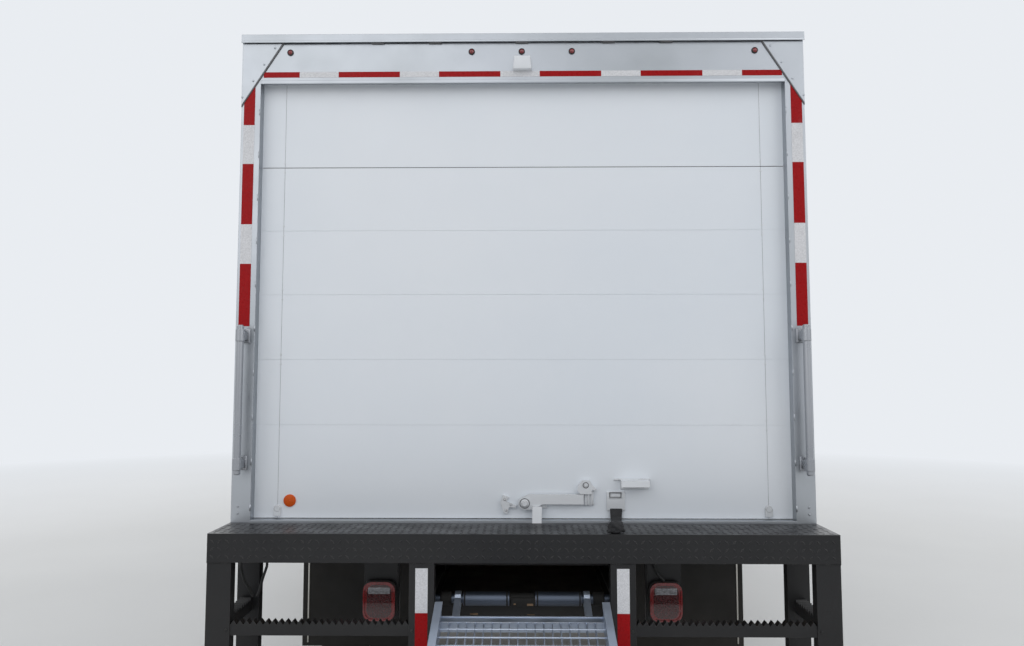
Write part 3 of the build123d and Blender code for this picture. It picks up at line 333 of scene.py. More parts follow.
# Ways that parts point, and the two sides by name
right, forward, up, rearward = Vector((1, 0, 0)), Vector((0, 1, 0)), Vector((0, 0, 1)), Vector((0, -1, 0))
sides = (("left", -1), ("right", 1))


def spaced(first, pitch, count):
    return [first + pitch * k for k in range(count)]


def roundEdges(mesh, edges, offset):
    bmesh.ops.bevel(mesh, geom=edges, offset=offset, segments=2, affect="EDGES", profile=0.5)


# Mesh helpers: each adds a form to an open bmesh
def addBox(mesh, low, high, bevel=0.0):
    low, high = Vector(low), Vector(high)
    corners = bmesh.ops.create_cube(mesh, size=1.0)["verts"]
    for vert in corners:
        vert.co = Vector((low[i] + high[i]) / 2 + vert.co[i] * abs(high[i] - low[i]) for i in range(3))
    if bevel:
        roundEdges(mesh, list({edge for vert in corners for edge in vert.link_edges}), bevel)


def addBlock(mesh, middle, half, bevel=0.0):
    middle, half = Vector(middle), Vector(half)
    addBox(mesh, middle - half, middle + half, bevel)


def addBar(mesh, start, end, radius, sides=24, endRadius=None):
    start, end = Vector(start), Vector(end)
    run = end - start
    turn = run.to_track_quat("Z", "Y").to_matrix().to_4x4()
    bmesh.ops.create_cone(mesh, cap_ends=True, segments=sides, radius1=radius,
                          radius2=radius if endRadius is None else endRadius, depth=run.length,
                          matrix=Matrix.Translation((start + end) / 2) @ turn)


def addBolt(mesh, place, way, size, head=0.6):
    # A hexagon head on a washer, pointing along way
    place, way = Vector(place), Vector(way).normalized()
    addBar(mesh, place, place + way * size * 0.18, size * 0.95, 20)
    addBar(mesh, place + way * size * 0.18, place + way * size * head, size * 0.62, 6)


def addRivet(mesh, place, way, radius):
    place, way = Vector(place), Vector(way).normalized()
    addBar(mesh, place, place + way * radius * 0.3, radius, 10, radius * 0.92)
    addBar(mesh, place + way * radius * 0.3, place + way * radius * 0.62, radius * 0.92, 10, radius * 0.4)


def ringPoints(radius, count, first=0.0):
    angles = (math.radians(first) + 2 * math.pi * step / count for step in range(count))
    return [(radius * math.cos(angle), radius * math.sin(angle)) for angle in angles]


def bridge(mesh, rows, closed=False):
    # Faces between rows of points, each row a loop; the rows close into a ring, or end in caps
    rows = [[vert if isinstance(vert, bmesh.types.BMVert) else mesh.verts.new(vert) for vert in row] for row in rows]
    count = len(rows[0])
    for here, after in zip(rows, rows[1:] + rows[:1] if closed else rows[1:]):
        for k in range(count):
            mesh.faces.new((here[k], here[(k + 1) % count], after[(k + 1) % count], after[k]))
    if not closed:
        mesh.faces.new(rows[0][::-1])
        mesh.faces.new(rows[-1])


def addTurned(mesh, profile, centre, axis=right, steps=96, closed=True):
    # profile: distance along the axis and radius; a closed profile makes a ring
    centre, axis = Vector(centre), Vector(axis).normalized()
    side = axis.orthogonal().normalized()
    other = axis.cross(side)
    rings = []
    for step in range(steps):
        angle = 2 * math.pi * step / steps
        out = side * math.cos(angle) + other * math.sin(angle)
        rings.append([mesh.verts.new(centre + axis * along + out * radius) for along, radius in profile])
    spans = len(profile) if closed else len(profile) - 1
    for here, after in zip(rings, rings[1:] + rings[:1]):
        for i in range(spans):
            j = (i + 1) % len(profile)
            mesh.faces.new((here[i], here[j], after[j], after[i]))


def addKnob(mesh, profile, centre, axis, steps):
    # A turned form whose profile ends on the axis, open where it meets what it stands on
    addTurned(mesh, profile, centre, axis, steps, False)


def addPrism(mesh, points, move):
    # points: corners of a flat outline; move: the vector it is pushed along
    near = [mesh.verts.new(Vector(p)) for p in points]
    far = [mesh.verts.new(Vector(p) + Vector(move)) for p in points]
    mesh.faces.new(near)
    mesh.faces.new(list(reversed(far)))
    for i in range(len(points)):
        j = (i + 1) % len(points)
        mesh.faces.new((near[j], near[i], far[i], far[j]))


def addPlate(mesh, outline, y, thick):
    # An outline in X and Z at y, pushed along Y by thick
    addPrism(mesh, [(x, y, z) for x, z in outline], (0, thick, 0))


def addSidePlate(mesh, outline, x, thick):
    # An outline in Y and Z at x, pushed along X by thick
    addPrism(mesh, [(x, y, z) for y, z in outline], (thick, 0, 0))


def addTube(mesh, route, radius, sides=12):
    # A round tube along a list of points
    route = [Vector(p) for p in route]
    rings, side = [], None
    for i, point in enumerate(route):
        ahead = (route[min(i + 1, len(route) - 1)] - route[max(i - 1, 0)]).normalized()
        side = (side - ahead * side.dot(ahead) if rings else ahead.orthogonal()).normalized()
        other = ahead.cross(side)
        rings.append([point + (side * u + other * v) for u, v in ringPoints(radius, sides)])
    bridge(mesh, rings)


def addHoop(mesh, route, radius, sides=10, flat=1.0):
    # A closed cord along a loop of points
    route, rings = [Vector(p) for p in route], []
    count = len(route)
    centre = sum(route, Vector()) / count
    for i, point in enumerate(route):
        ahead = (route[(i + 1) % count] - route[i - 1]).normalized()
        out = point - centre
        out = (out - ahead * out.dot(ahead)).normalized()
        over = ahead.cross(out)
        rings.append([point + out * u + over * v * flat for u, v in ringPoints(radius, sides)])
    bridge(mesh, rings, True)


def roundedOutline(points, radius, steps=6):
    # Flat corner points with each corner turned into an arc
    result, count = [], len(points)
    for i in range(count):
        here = Vector(points[i])
        before = (Vector(points[i - 1]) - here).normalized()
        after = (Vector(points[(i + 1) % count]) - here).normalized()
        half = math.acos(max(-1.0, min(1.0, before.dot(after)))) / 2
        start, end = (here + way * radius / math.tan(half) for way in (before, after))
        centre = here + (before + after).normalized() * radius / math.sin(half)
        turn = (start - centre).angle_signed(end - centre)
        for step in range(steps + 1):
            arm = start - centre
            arm.rotate(Matrix.Rotation(-turn * step / steps, 2))
            result.append(centre + arm)
    return result


def roundedBox(u0, u1, v0, v1, radius, steps):
    return roundedOutline(((u0, v0), (u1, v0), (u1, v1), (u0, v1)), radius, steps)


def placeMesh(name, mesh):
    data = bpy.data.meshes.new(name)
    mesh.to_mesh(data)
    mesh.free()
    piece = bpy.data.objects.new(name, data)
    bpy.context.scene.collection.objects.link(piece)
    return piece


def bakeModifiers(piece):
    bpy.context.view_layer.update()
    shaped = bpy.data.meshes.new_from_object(piece.evaluated_get(bpy.context.evaluated_depsgraph_get()))
    piece.modifiers.clear()
    piece.data = shaped
    return shaped


def finishPiece(mesh, name, body, finish, smoothAngle=35.0, replaced=()):
    bmesh.ops.recalc_face_normals(mesh, faces=mesh.faces[:])
    piece = placeMesh(name, mesh)
    piece.data.materials.append(finishes[finish])
    piece.data.shade_smooth()
    piece.data.set_sharp_from_angle(angle=math.radians(smoothAngle))
    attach(piece, body)
    if replaced:
        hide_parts(*replaced)
    return piece


def newMeshes(count):
    return [bmesh.new() for _ in range(count)]


# Camera behind the truck, a little under mid height
rearFrame, deckBox, doorBox = (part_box(name) for name in ("rear_frame", "bumper_deck", "rollup_door"))
frameFace = rearFrame[0].y + 0.012
shot = {"back": 3.504, "height": 1.7106, "side": 0.0, "lens": 27.42, "sensor": 36.0, "pitch": 4.34, "yaw": 0.735,
        "reach": 200.0}
camera = bpy.data.objects.new("camera", bpy.data.cameras.new("camera"))
bpy.context.scene.collection.objects.link(camera)
camera.location = (shot["side"], frameFace - shot["back"], shot["height"])
camera.rotation_euler = (math.radians(90 + shot["pitch"]), 0.0, math.radians(shot["yaw"]))
camera.data.lens, camera.data.sensor_width, camera.data.clip_end = shot["lens"], shot["sensor"], shot["reach"]
bpy.context.scene.camera = camera

# Floor, world and soft lamps; each lamp: place, size and power
studio = {"floorColor": (0.80, 0.80, 0.79), "floorReach": 80.0, "sky": (0.86, 0.89, 0.93), "skyLevel": 0.50,
          "seenLevel": 0.95, "fade": (5.5, 15.0), "aim": (0, 0, 1.2),
          "lamps": (((-5.0, -10.0, 8.0), 11.0, 340.0), ((7.0, -7.0, 7.0), 9.0, 250.0),
                    ((-8.0, 6.0, 8.0), 11.0, 330.0), ((8.0, 7.0, 9.0), 11.0, 330.0))}


def seenOnly(tree):
    # 1 for rays that show the backdrop: straight, mirrored or through glass
    path = addNode(tree, "LightPath").outputs
    seen = combine(tree, path["Is Camera Ray"], path["Is Glossy Ray"], "MAXIMUM", False)
    return combine(tree, seen, path["Is Transmission Ray"], "MAXIMUM", False)


def makeFloor():
    mesh = bmesh.new()
    bmesh.ops.create_grid(mesh, x_segments=1, y_segments=1, size=studio["floorReach"])
    floor = placeMesh("floor", mesh)
    material, tree, shader = newShader("floorPaint")
    place = objectPlace(tree)
    tone = spread(tree, noise(tree, place, 0.6, 5.0), 0.3, 0.7)
    pale = rgba(studio["floorColor"])
    setInputs(tree, shader, {"Base Color": mixColor(tree, tone, pale, darker(pale, 0.96)), "Roughness": 0.8})
    # Far from the truck the floor turns into the backdrop's colour, for what is seen only
    reach = addNode(tree, "VectorMath", {0: place}, operation="LENGTH").outputs["Value"]
    faded = combine(tree, spread(tree, reach, *studio["fade"]), seenOnly(tree))
    backdrop = addNode(tree, "Emission", {"Color": rgba(studio["sky"]), "Strength": studio["seenLevel"]})
    blend = addNode(tree, "MixShader", {0: faded, 1: shader.outputs[0], 2: backdrop.outputs[0]})
    tree.links.new(blend.outputs[0], tree.nodes["Material Output"].inputs["Surface"])
    floor.data.materials.append(material)
    floor.location.z = cadBounds[0][2] - 0.001


def makeWorld():
    world = bpy.data.worlds.new("studio")
    bpy.context.scene.world = world
    world.use_nodes = True
    tree = world.node_tree
    level = spread(tree, seenOnly(tree), 0.0, 1.0, studio["skyLevel"], studio["seenLevel"])
    setInputs(tree, tree.nodes["Background"], {"Strength": level, "Color": rgba(studio["sky"])})
    for place, size, power in studio["lamps"]:
        lamp = bpy.data.lights.new("softbox", "AREA")
        lamp.energy, lamp.size = power, size
        holder = bpy.data.objects.new("softbox", lamp)
        holder.location = place
        holder.rotation_euler = (Vector(studio["aim"]) - Vector(place)).to_track_quat("-Z", "Y").to_euler()
        bpy.context.scene.collection.objects.link(holder)


makeFloor()
makeWorld()
bpy.context.scene.view_settings.view_transform = "Standard"
print("camera, floor and lamps ready")


# Rear door: shaded joints and rail lines, rivets, corner fittings and the reflector
doorLook = {"sections": (0.415, 0.297, 0.297, 0.297, 0.297), "edge": 0.024, "jointHalf": 0.0014, "rail": 1.102,
            "railDrop": 0.22, "firstRung": 0.03, "rungHalf": 0.022, "rivet": 0.004, "fittingHeight": 1.145,
            "fitting": 0.017, "reflectorPlace": (-1.0475, 1.179), "reflectorRadius": 0.0275}


def makeDoorDetail():
    look, (low, high) = doorLook, doorBox
    face = low.y
    seams, fittings, disc = newMeshes(3)
    joints = [low.z + sum(look["sections"][:count + 1]) for count in range(len(look["sections"]))]
    last, thin = joints[-1], look["jointHalf"]
    addBox(seams, (low.x + look["edge"], face + 0.0008, last - thin),
           (high.x - look["edge"], face + 0.0028, last + thin))
    for side in (-1, 1):
        x = side * look["rail"]
        addBox(seams, (x - 0.0005, face - 0.0004, low.z), (x + 0.0005, face + 0.001, rearFrame[1].z - look["railDrop"]))
        for level in [low.z + look["firstRung"]] + joints:
            for lift in (-look["rungHalf"], look["rungHalf"]):
                addRivet(fittings, (x, face, level + lift), rearward, look["rivet"])
        z, wide = look["fittingHeight"], look["fitting"]
        addBar(fittings, (x, face, z), (x, face - 0.010, z), wide, 20, 0.013)
        addBox(fittings, (x - wide, face - 0.008, z - 0.035), (x + wide, face, z), 0.002)
    finishPiece(seams, "door_seams", "truck", "seamShade")
    finishPiece(fittings, "door_fittings", "truck", "latchWhite")
    x, z = look["reflectorPlace"]
    radius = look["reflectorRadius"]
    profile = ((0.0, radius), (0.004, radius), (0.0065, radius * 0.86), (0.0075, 0.0005))
    addKnob(disc, profile, (x, face, z), rearward, 48)
    finishPiece(disc, "door_reflector", "truck", "reflector")


makeDoorDetail()

# Reflective tape on the rear frame and the inner bumper posts
tapeLook = {"thick": 0.0009, "red": 0.2840, "white": 0.1810, "headerLow": 3.1175, "headerHigh": 3.1435,
            "headerEnd": 1.196, "middle": -0.008, "postX": 1.258, "postHalf": 0.0254, "topCut": 0.078,
            "postJoints": (3.078, 2.893, 2.711, 2.430, 2.248, 1.963), "slotX": 0.4115, "slotTop": 0.9515,
            "slotJoint": 0.773, "slotLow": 0.42}


def layTape():
    look = tapeLook
    red, white = newMeshes(2)
    face, thick, half = frameFace, look["thick"], look["postHalf"]
    for way in (-1, 1):    # strips run out both ways from the white one in the middle
        near, isRed, run = 0.0, False, look["white"] / 2
        end = look["headerEnd"] - way * look["middle"]
        while near < end:
            far = min(near + run, end)
            addBox(red if isRed else white, (look["middle"] + way * near, face - thick, look["headerLow"]),
                   (look["middle"] + way * far, face, look["headerHigh"]))
            near, isRed = far, not isRed
            run = look["red"] if isRed else look["white"]
    joints, bumperFace = look["postJoints"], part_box("step_bumper")[0].y
    for side in (-1, 1):
        near, far = (side * (look["postX"] + k * half) for k in (-1, 1))
        for place, (top, low) in enumerate(zip(joints, joints[1:])):
            drop = 0.0 if place else look["topCut"]    # the top end is cut along the gusset
            corners = ((near, low), (far, low), (far, top - drop), (near, top))
            addPlate(white if place % 2 else red, corners, face, -thick)
        near, far = (side * (look["slotX"] + k * half) for k in (-1, 1))
        for mesh, low, high in ((white, "slotJoint", "slotTop"), (red, "slotLow", "slotJoint")):
            addBox(mesh, (near, bumperFace - thick, look[low]), (far, bumperFace, look[high]))
    finishPiece(red, "tape_red", "truck", "tapeRed")
    finishPiece(white, "tape_white", "truck", "tapeWhite")


layTape()
print("rear door and tape done")

# Header: drip cap lip, gusset seams, painted shade under the cap over the gussets, tabs, screws, welds and the blank
# lamp box
headerLook = {"half": 1.295, "capDrop": 0.032, "inset": 0.087, "low": 3.103, "lipDrop": 0.016, "slotZ": 3.2805,
              "tabs": (-0.667, -0.400, 0.0, 0.400, 0.667), "gussetRun": 0.189, "gussetDrop": 0.300, "bead": 0.009,
              "gussetRivets": (0.12, 0.38, 0.64, 0.9), "screws": (1.13, 1.16, 3.06), "welds": (1.14, 0.2, 10),
              "lampBox": (-0.041, 0.046, 3.143, 3.206), "lampBoxLift": 0.030}


def makeHeaderDetail():
    look, face = headerLook, frameFace
    half, top = look["half"], rearFrame[1].z - look["capDrop"]
    steel, dark, box = newMeshes(3)
    inner = half - look["inset"]
    addBox(steel, (-inner, face - 0.003, look["low"] - look["lipDrop"]), (inner, face + 0.012, look["low"]), 0.001)
    addBox(steel, (-half - 0.004, face - 0.014, top - 0.008), (half + 0.004, face - 0.011, top + 0.002), 0.001)
    for x in look["tabs"]:
        addBox(dark, (x - 0.030, face - 0.009, top - 0.013), (x + 0.030, face, top - 0.001), 0.002)
    for side in (-1, 1):
        # painted shade along the cap's joint over each gusset, and the gusset's own joint, sealed in one bead
        addBox(dark, (side * (half - look["gussetRun"]), face - 0.0012, look["slotZ"] - 0.001),
               (side * (half - 0.004), face + 0.002, look["slotZ"] + 0.005))
        start = Vector((side * (half - look["gussetRun"]), face - 0.0042, top))
        end = Vector((side * half, face - 0.0042, top - look["gussetDrop"]))
        bead = (start, end, end - up * look["bead"], start - right * side * 0.0085)
        addPrism(dark, bead, (0, 0.004, 0))
        for share in look["gussetRivets"]:
            addRivet(steel, start.lerp(end, share) + Vector((side * 0.016, 0, 0.006)), rearward, 0.005)
        for level in look["screws"]:
            addBolt(steel, (side * (half - 0.03), face, level), rearward, 0.006)
        for z in spaced(*look["welds"]):    # welds down the inner edge
            addBox(steel, (side * (inner - 0.001), face - 0.0008, z), (side * (inner + 0.005), face, z + 0.028), 0.0004)
    finishPiece(steel, "frame_trim", "truck", "stainless")
    finishPiece(dark, "frame_seams_and_painted_shade", "truck", "seamShade")
    x0, x1, z0, z1 = look["lampBox"]
    addPlate(box, ((x0, z0), (x1, z0), (x1 - 0.007, z1), (x0 + 0.007, z1)), face, -look["lampBoxLift"])
    roundEdges(box, box.edges[:], 0.003)
    finishPiece(box, "plate_lamp_box", "truck", "latchWhite")


# Marker lamps: red ones in the header and amber ones on the cab's roof
markerLook = {"z": 3.236, "x": (-1.0736, -0.2314, 0.0, 0.2314, 1.0736), "radius": 0.0135,
              "roofX": (-0.76, -0.15, 0.0, 0.15, 0.76), "roofBack": 0.04, "roofHalf": 0.042,
              "roofShape": ((0.038, 0.006), (-0.038, 0.006), (-0.030, 0.029), (0.012, 0.029))}


def makeMarkerLamps():
    look = markerLook
    red, amber, cups = newMeshes(3)
    radius, half = look["radius"], look["roofHalf"]
    dome = ((0.0, radius * 0.8), (0.005, radius * 0.78), (0.009, radius * 0.5), (0.0105, 0.0004))
    grommet = ((0.0, radius * 0.78), (0.0, radius * 1.12), (0.004, radius * 1.08), (0.006, radius * 0.82))
    for x in look["x"]:
        addKnob(red, dome, (x, frameFace, look["z"]), rearward, 28)
        addTurned(cups, grommet, (x, frameFace, look["z"]), rearward, 28)
    roof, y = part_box("cab_roof")[1].z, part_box("marker_lamps")[1].y - look["roofBack"]
    for x in look["roofX"]:
        addBlock(cups, (x, y, roof + 0.001), (half + 0.005, half, 0.005), 0.003)
        addSidePlate(amber, [(y + dy, roof + dz) for dy, dz in look["roofShape"]], x - half, 2 * half)
    roundEdges(amber, amber.edges[:], 0.005)
    finishPiece(red, "marker_lenses", "truck", "redLens", replaced=("marker_lamps",))
    finishPiece(amber, "roof_lamp_lenses", "truck", "amberLens")
    finishPiece(cups, "marker_grommets", "truck", "sealRubber")


handleLook = {"x": 1.250, "out": 0.065, "radius": 0.0155, "low": 1.310, "high": 1.960, "brackets": (1.352, 1.918),
              "boltLift": 0.026}


def makeHandles():
    look, mesh, foot = handleLook, bmesh.new(), frameFace - 0.008
    radius, low, high = look["radius"], look["low"], look["high"]
    for side in (-1, 1):
        x, y = side * look["x"], frameFace - look["out"]
        addBar(mesh, (x, y, low), (x, y, high), radius, 32)
        for middle, reach, share in [(end, 0.004, 0.82) for end in (low, high)] + \
                                    [(z, 0.026, 1.32) for z in look["brackets"]]:
            addBar(mesh, (x, y, middle - reach), (x, y, middle + reach), radius * share, 32)
        for z in look["brackets"]:
            addBox(mesh, (x - 0.017, y + 0.010, z - 0.020), (x + 0.017, foot + 0.002, z + 0.020), 0.003)
            addBox(mesh, (x - 0.024, foot, z - 0.032), (x + 0.024, frameFace, z + 0.032), 0.003)
            for lift in (-look["boltLift"], look["boltLift"]):
                addBolt(mesh, (x, foot, z + lift), rearward, 0.0055)
    finishPiece(mesh, "handle_tubes", "truck", "handleSteel", replaced=("grab_handles",))


makeHeaderDetail()
makeMarkerLamps()
makeHandles()

# Door latch: lever on a boss, tongue over the sill, two keepers, a pull step and its strap
latchLook = {"pivot": (0.011, 1.171), "bossRadius": 0.029, "lever": (0.275, 1.2104, 1.1661),
             "tongue": (0.0455, 0.0885, 1.0775), "keeper": (0.247, 0.332, 1.2118, 1.2718),
             "slide": (0.278, 0.320, 1.161, 1.224), "slideRibs": (0.014, 0.030),
             "plate": (0.3783, 0.4608, 1.1377, 1.222), "step": (0.4401, 0.5667, 1.2309, 1.2754),
             "bracket": ((-0.0977, 1.172), (-0.086, 1.2069), (-0.060, 1.196), (-0.070, 1.176), (-0.0243, 1.160),
                         (-0.030, 1.150), (-0.058, 1.153), (-0.066, 1.1227), (-0.083, 1.128)),
             "bracketBolts": ((-0.078, 1.188), (-0.072, 1.140), (-0.050, 1.166)),
             "strap": (0.3925, 0.4481), "strapThick": 0.004, "knot": (0.386, -2.858)}


def makeLatch():
    look, face = latchLook, doorBox[0].y
    mesh, lines = newMeshes(2)
    px, pz = look["pivot"]
    end, top, low = look["lever"]
    radius = look["bossRadius"]
    arc = [(px + radius * math.cos(a), pz + radius * math.sin(a)) for a in map(math.radians, range(100, 281, 15))]
    lever = [(end, top), (px + 0.02, top)] + arc + [(px + 0.034, pz - radius * 0.98), (0.090, low), (end, low)]
    addPlate(mesh, lever, face - 0.009, -0.013)
    boss = ((0.0, 0.019), (0.026, 0.019), (0.030, 0.015), (0.030, 0.0004))
    nut = ((0.0, 0.0135), (0.035, 0.0135), (0.037, 0.011), (0.037, 0.0004))
    addKnob(mesh, boss, (px, face - 0.006, pz), rearward, 32)
    addKnob(mesh, nut, (px, face - 0.006, pz), rearward, 6)
    addBox(mesh, (px - 0.020, face - 0.009, pz - 0.022), (px + 0.10, face, pz + 0.018), 0.002)
    x0, x1, z = look["tongue"]
    addPrism(mesh, [(x0, face - 0.024, 1.158), (x1, face - 0.024, 1.158), (x1 - 0.003, face - 0.052, z),
                    (x0 - 0.002, face - 0.052, z)], (0, -0.008, 0))
    addPlate(mesh, look["bracket"], face, -0.014)
    for x, z in look["bracketBolts"]:
        addBolt(mesh, (x, face - 0.014, z), rearward, 0.0065)
    x0, x1, z0, z1 = look["keeper"]
    boltX, boltZ = x0 + 0.037, z1 - 0.020
    hook = [(x0, z0 + 0.014), (x0 + 0.004, z0 + 0.04), (x0 + 0.024, z1), (x1 - 0.030, z1), (x1 - 0.018, z1 - 0.020),
            (x1, z0 + 0.022), (x1 - 0.008, z0 + 0.016), (x1 - 0.020, z0 + 0.020), (x1 - 0.022, z0), (x0 + 0.012, z0)]
    addPlate(mesh, hook, face, -0.024)
    addBolt(mesh, (boltX, face - 0.024, boltZ), rearward, 0.010)
    x0, x1, z0, z1 = look["slide"]
    addBox(mesh, (x0, face - 0.012, z0), (x1, face, z1), 0.002)
    for run in look["slideRibs"]:
        addBox(mesh, (x0 + run, face - 0.018, z0 + 0.004), (x0 + run + 0.006, face - 0.010, z1 - 0.006), 0.001)
    x0, x1, z0, z1 = look["plate"]
    addBox(mesh, (x0, face - 0.007, z0), (x1, face, z1), 0.002)
    for z in (z1 - 0.008, z1 - 0.030):    # the strap's slot
        addBox(mesh, (x0 + 0.010, face - 0.011, z), (x1 - 0.013, face - 0.006, z + 0.004), 0.001)
    x0, x1, z0, z1 = look["step"]
    tread = ((0.0, 0.0), (-0.044, -0.002), (-0.050, -0.030), (-0.046, -0.030), (-0.040, -0.006), (0.0, -0.005))
    addSidePlate(mesh, [(face + dy, z1 + dz) for dy, dz in tread], x0, x1 - x0)
    addBox(mesh, (x0, face - 0.004, z0), (x1, face, z1), 0.001)
    addBox(mesh, (x0 - 0.028, face - 0.006, z1 - 0.004), (x1 + 0.006, face, z1 + 0.004), 0.001)
    for x in (x0 + 0.02, x1 - 0.02):
        addRivet(mesh, (x, face - 0.004, z0 + 0.012), rearward, 0.005)
    # painted shade: dark rings round the pivot and the keeper's bolt, and dark lines round the slot's outline
    for x, z, lift, ring in ((px, pz, 0.022, 0.0195), (boltX, boltZ, 0.024, 0.0105)):
        addTurned(lines, ((-0.001, ring), (0.0008, ring), (0.0008, ring + 0.0032), (-0.001, ring + 0.0032)),
                  (x, face - lift, z), rearward, 40)
    x0, x1, z = look["plate"][0] + 0.012, look["plate"][1] - 0.017, look["plate"][3]
    for near, far, low, high in ((x0, x1, z - 0.006, z - 0.003), (x0, x1, z - 0.026, z - 0.023),
                                 (x0, x0 + 0.003, z - 0.026, z - 0.003), (x1 - 0.003, x1, z - 0.026, z - 0.003)):
        addBox(lines, (near, face - 0.0116, low), (far, face - 0.006, high))
    finishPiece(lines, "latch_painted_shade_lines", "truck", "seamShade")
    finishPiece(mesh, "latch_parts", "truck", "latchWhite", 28.0, ("door_latch",))


def makeStrap():
    # Webbing from the plate's slot, over the sill to a knot that rests on the deck
    look, face, deck, mesh = latchLook, doorBox[0].y, deckBox[1].z, bmesh.new()
    x0, x1 = look["strap"]
    knotX, knotY = look["knot"]
    side = [(face - 0.003, 1.150), (face - 0.010, 1.134), (face - 0.016, 1.112), (frameFace + 0.006, 1.107),
            (frameFace - 0.006, 1.101), (frameFace - 0.020, deck + 0.006), (frameFace - 0.07, deck + 0.004),
            (frameFace - 0.12, deck + 0.010), (knotY + 0.030, deck + 0.012)]
    last, rows = len(side) - 1, []
    for place, (y, z) in enumerate(side):
        ahead = Vector(side[min(place + 1, last)]) - Vector(side[max(place - 1, 0)])
        out = Vector((ahead.y, -ahead.x)).normalized() * look["strapThick"] / 2
        drift, narrow = 0.026 * (place / last) ** 2, 0.010 * place / last
        near, far = x0 - drift + narrow, x1 - drift - narrow
        rows.append([(x, y + k * out.x, z + k * out.y) for k, x in
                     ((1, near), (1.25, near + 0.006), (1.25, far - 0.006), (1, far), (-1, far), (-1, near))])
    bridge(mesh, rows)
    for turn in range(4):    # the knot: loops of the strap drawn tight over each other
        wide, deep = 0.023 - 0.003 * turn, 0.011 + 0.003 * turn
        angles = [math.radians(step * 20 + turn * 50) for step in range(19)]
        addTube(mesh, [(knotX + wide * math.cos(a), knotY + deep * math.sin(a),
                        deck + 0.026 + 0.014 * math.sin(a + turn * 1.4)) for a in angles], 0.0105, 10)
    for tail in (((-0.010, -0.004, 0.020), (-0.026, -0.010, 0.012), (-0.036, -0.012, 0.0085)),
                 ((0.010, 0.002, 0.020), (0.026, 0.004, 0.014), (0.034, 0.010, 0.0085))):
        addTube(mesh, [(knotX + dx, knotY + dy, deck + dz) for dx, dy, dz in tail], 0.008, 8)
    finishPiece(mesh, "pull_strap", "truck", "webbing", 60.0)


makeLatch()
makeStrap()
print("header, handles and latch done")

# Tread plate: raised lozenges, turned in alternate ways
treadLook = {"pitch": 0.031, "long": 0.0125, "wide": 0.0045, "high": 0.0013, "top": 0.6, "deckRows": 7,
             "faceRows": 3, "margin": 0.005, "rearMargin": 0.008}


def addLozenge(mesh, place, along, across, lift):
    reaches = (along, across, -along, -across)
    base = [mesh.verts.new(place + reach) for reach in reaches]
    top = [mesh.verts.new(place + reach * treadLook["top"] + lift) for reach in reaches]
    mesh.faces.new(top)
    for i in range(4):
        j = (i + 1) % 4
        mesh.faces.new((base[i], base[j], top[j], top[i]))


def treadField(mesh, corner, wayU, wayV, lift, columns, rows):
    look = treadLook
    pitch = look["pitch"]
    for column in range(columns):
        for row in range(rows):
            place = corner + wayU * (column + 0.5) * pitch + wayV * (row + 0.5) * pitch
            turned = wayV * (1 if (column + row) % 2 else -1)
            addLozenge(mesh, place, (wayU + turned).normalized() * look["long"],
                       (wayU - turned).normalized() * look["wide"], lift * look["high"])


def makeDeckTread():
    look, mesh, (low, high) = treadLook, bmesh.new(), deckBox
    columns = int((high.x - low.x - 2 * look["margin"]) / look["pitch"])
    edge = low + right * look["margin"]
    treadField(mesh, Vector((edge.x, edge.y + look["rearMargin"], high.z)), right, forward, up, columns,
               look["deckRows"])
    treadField(mesh, edge + up * look["rearMargin"], right, up, rearward, columns, look["faceRows"])
    finishPiece(mesh, "deck_tread", "truck", "bumperBlack", 20.0)


# Step bumper: weld beads under the beam, clamp bolts and the lamp plates' edges
bumperLook = {"beads": ((1.195, 1.295), (0.36, 0.463)), "beadSteps": 12, "beadHalf": 0.0045, "beadRadius": 0.005,
              "barLevels": (0.74, 0.42), "barBolts": (1.21, 0.448), "boltDrop": 0.038, "slotLevels": (0.99, 1.03),
              "slotBolts": (0.38, 0.41), "slotBack": 0.30, "edge": (0.549, 0.556), "edgeHigh": (0.655, 1.05)}


def makeBumperDetail():
    look, mesh = bumperLook, bmesh.new()
    low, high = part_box("step_bumper")
    y, z, half = low.y + 0.002, deckBox[0].z, look["beadHalf"]
    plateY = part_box("tail_lamps")[1].y
    for side in (-1, 1):
        for near, far in look["beads"]:
            x0, x1 = side * near, side * far
            random.seed(int(abs(x0) * 100))
            for k in range(look["beadSteps"]):
                x = x0 + (x1 - x0) * (k + 0.5) / look["beadSteps"]
                addBar(mesh, (x - half, y, z + 0.001), (x + half, y, z - 0.003 + 0.002 * random.random()),
                       look["beadRadius"], 6)
        for level in look["barLevels"]:
            for x in look["barBolts"]:
                addBolt(mesh, (side * x, low.y, level - look["boltDrop"]), rearward, 0.007)
        for level in look["slotLevels"]:
            for x in look["slotBolts"]:
                addBolt(mesh, (side * x, high.y - look["slotBack"], level), (-side, 0, 0), 0.008)
        (x0, x1), (z0, z1) = look["edge"], look["edgeHigh"]
        addBox(mesh, (side * x0, plateY + 0.006, z0), (side * x1, plateY + 0.03, z1), 0.001)
    finishPiece(mesh, "bumper_welds", "truck", "bumperBlack", 40.0)


# Tail lamps: a housing, a red lens that steps in behind its rim, and a clear band for reversing
tailLook = {"width": 0.147, "corner": 0.038, "inset": 0.003, "rim": (0.90, 0.92), "sunk": 0.006,
            "face": (0.86, 0.92), "faceBack": 0.0045, "faceThick": 0.002, "bandTop": 0.026, "bandHalf": 0.049,
            "bandTall": 0.030, "ribs": 8, "ribPitch": 0.012, "rivets": (0.035, 0.09)}


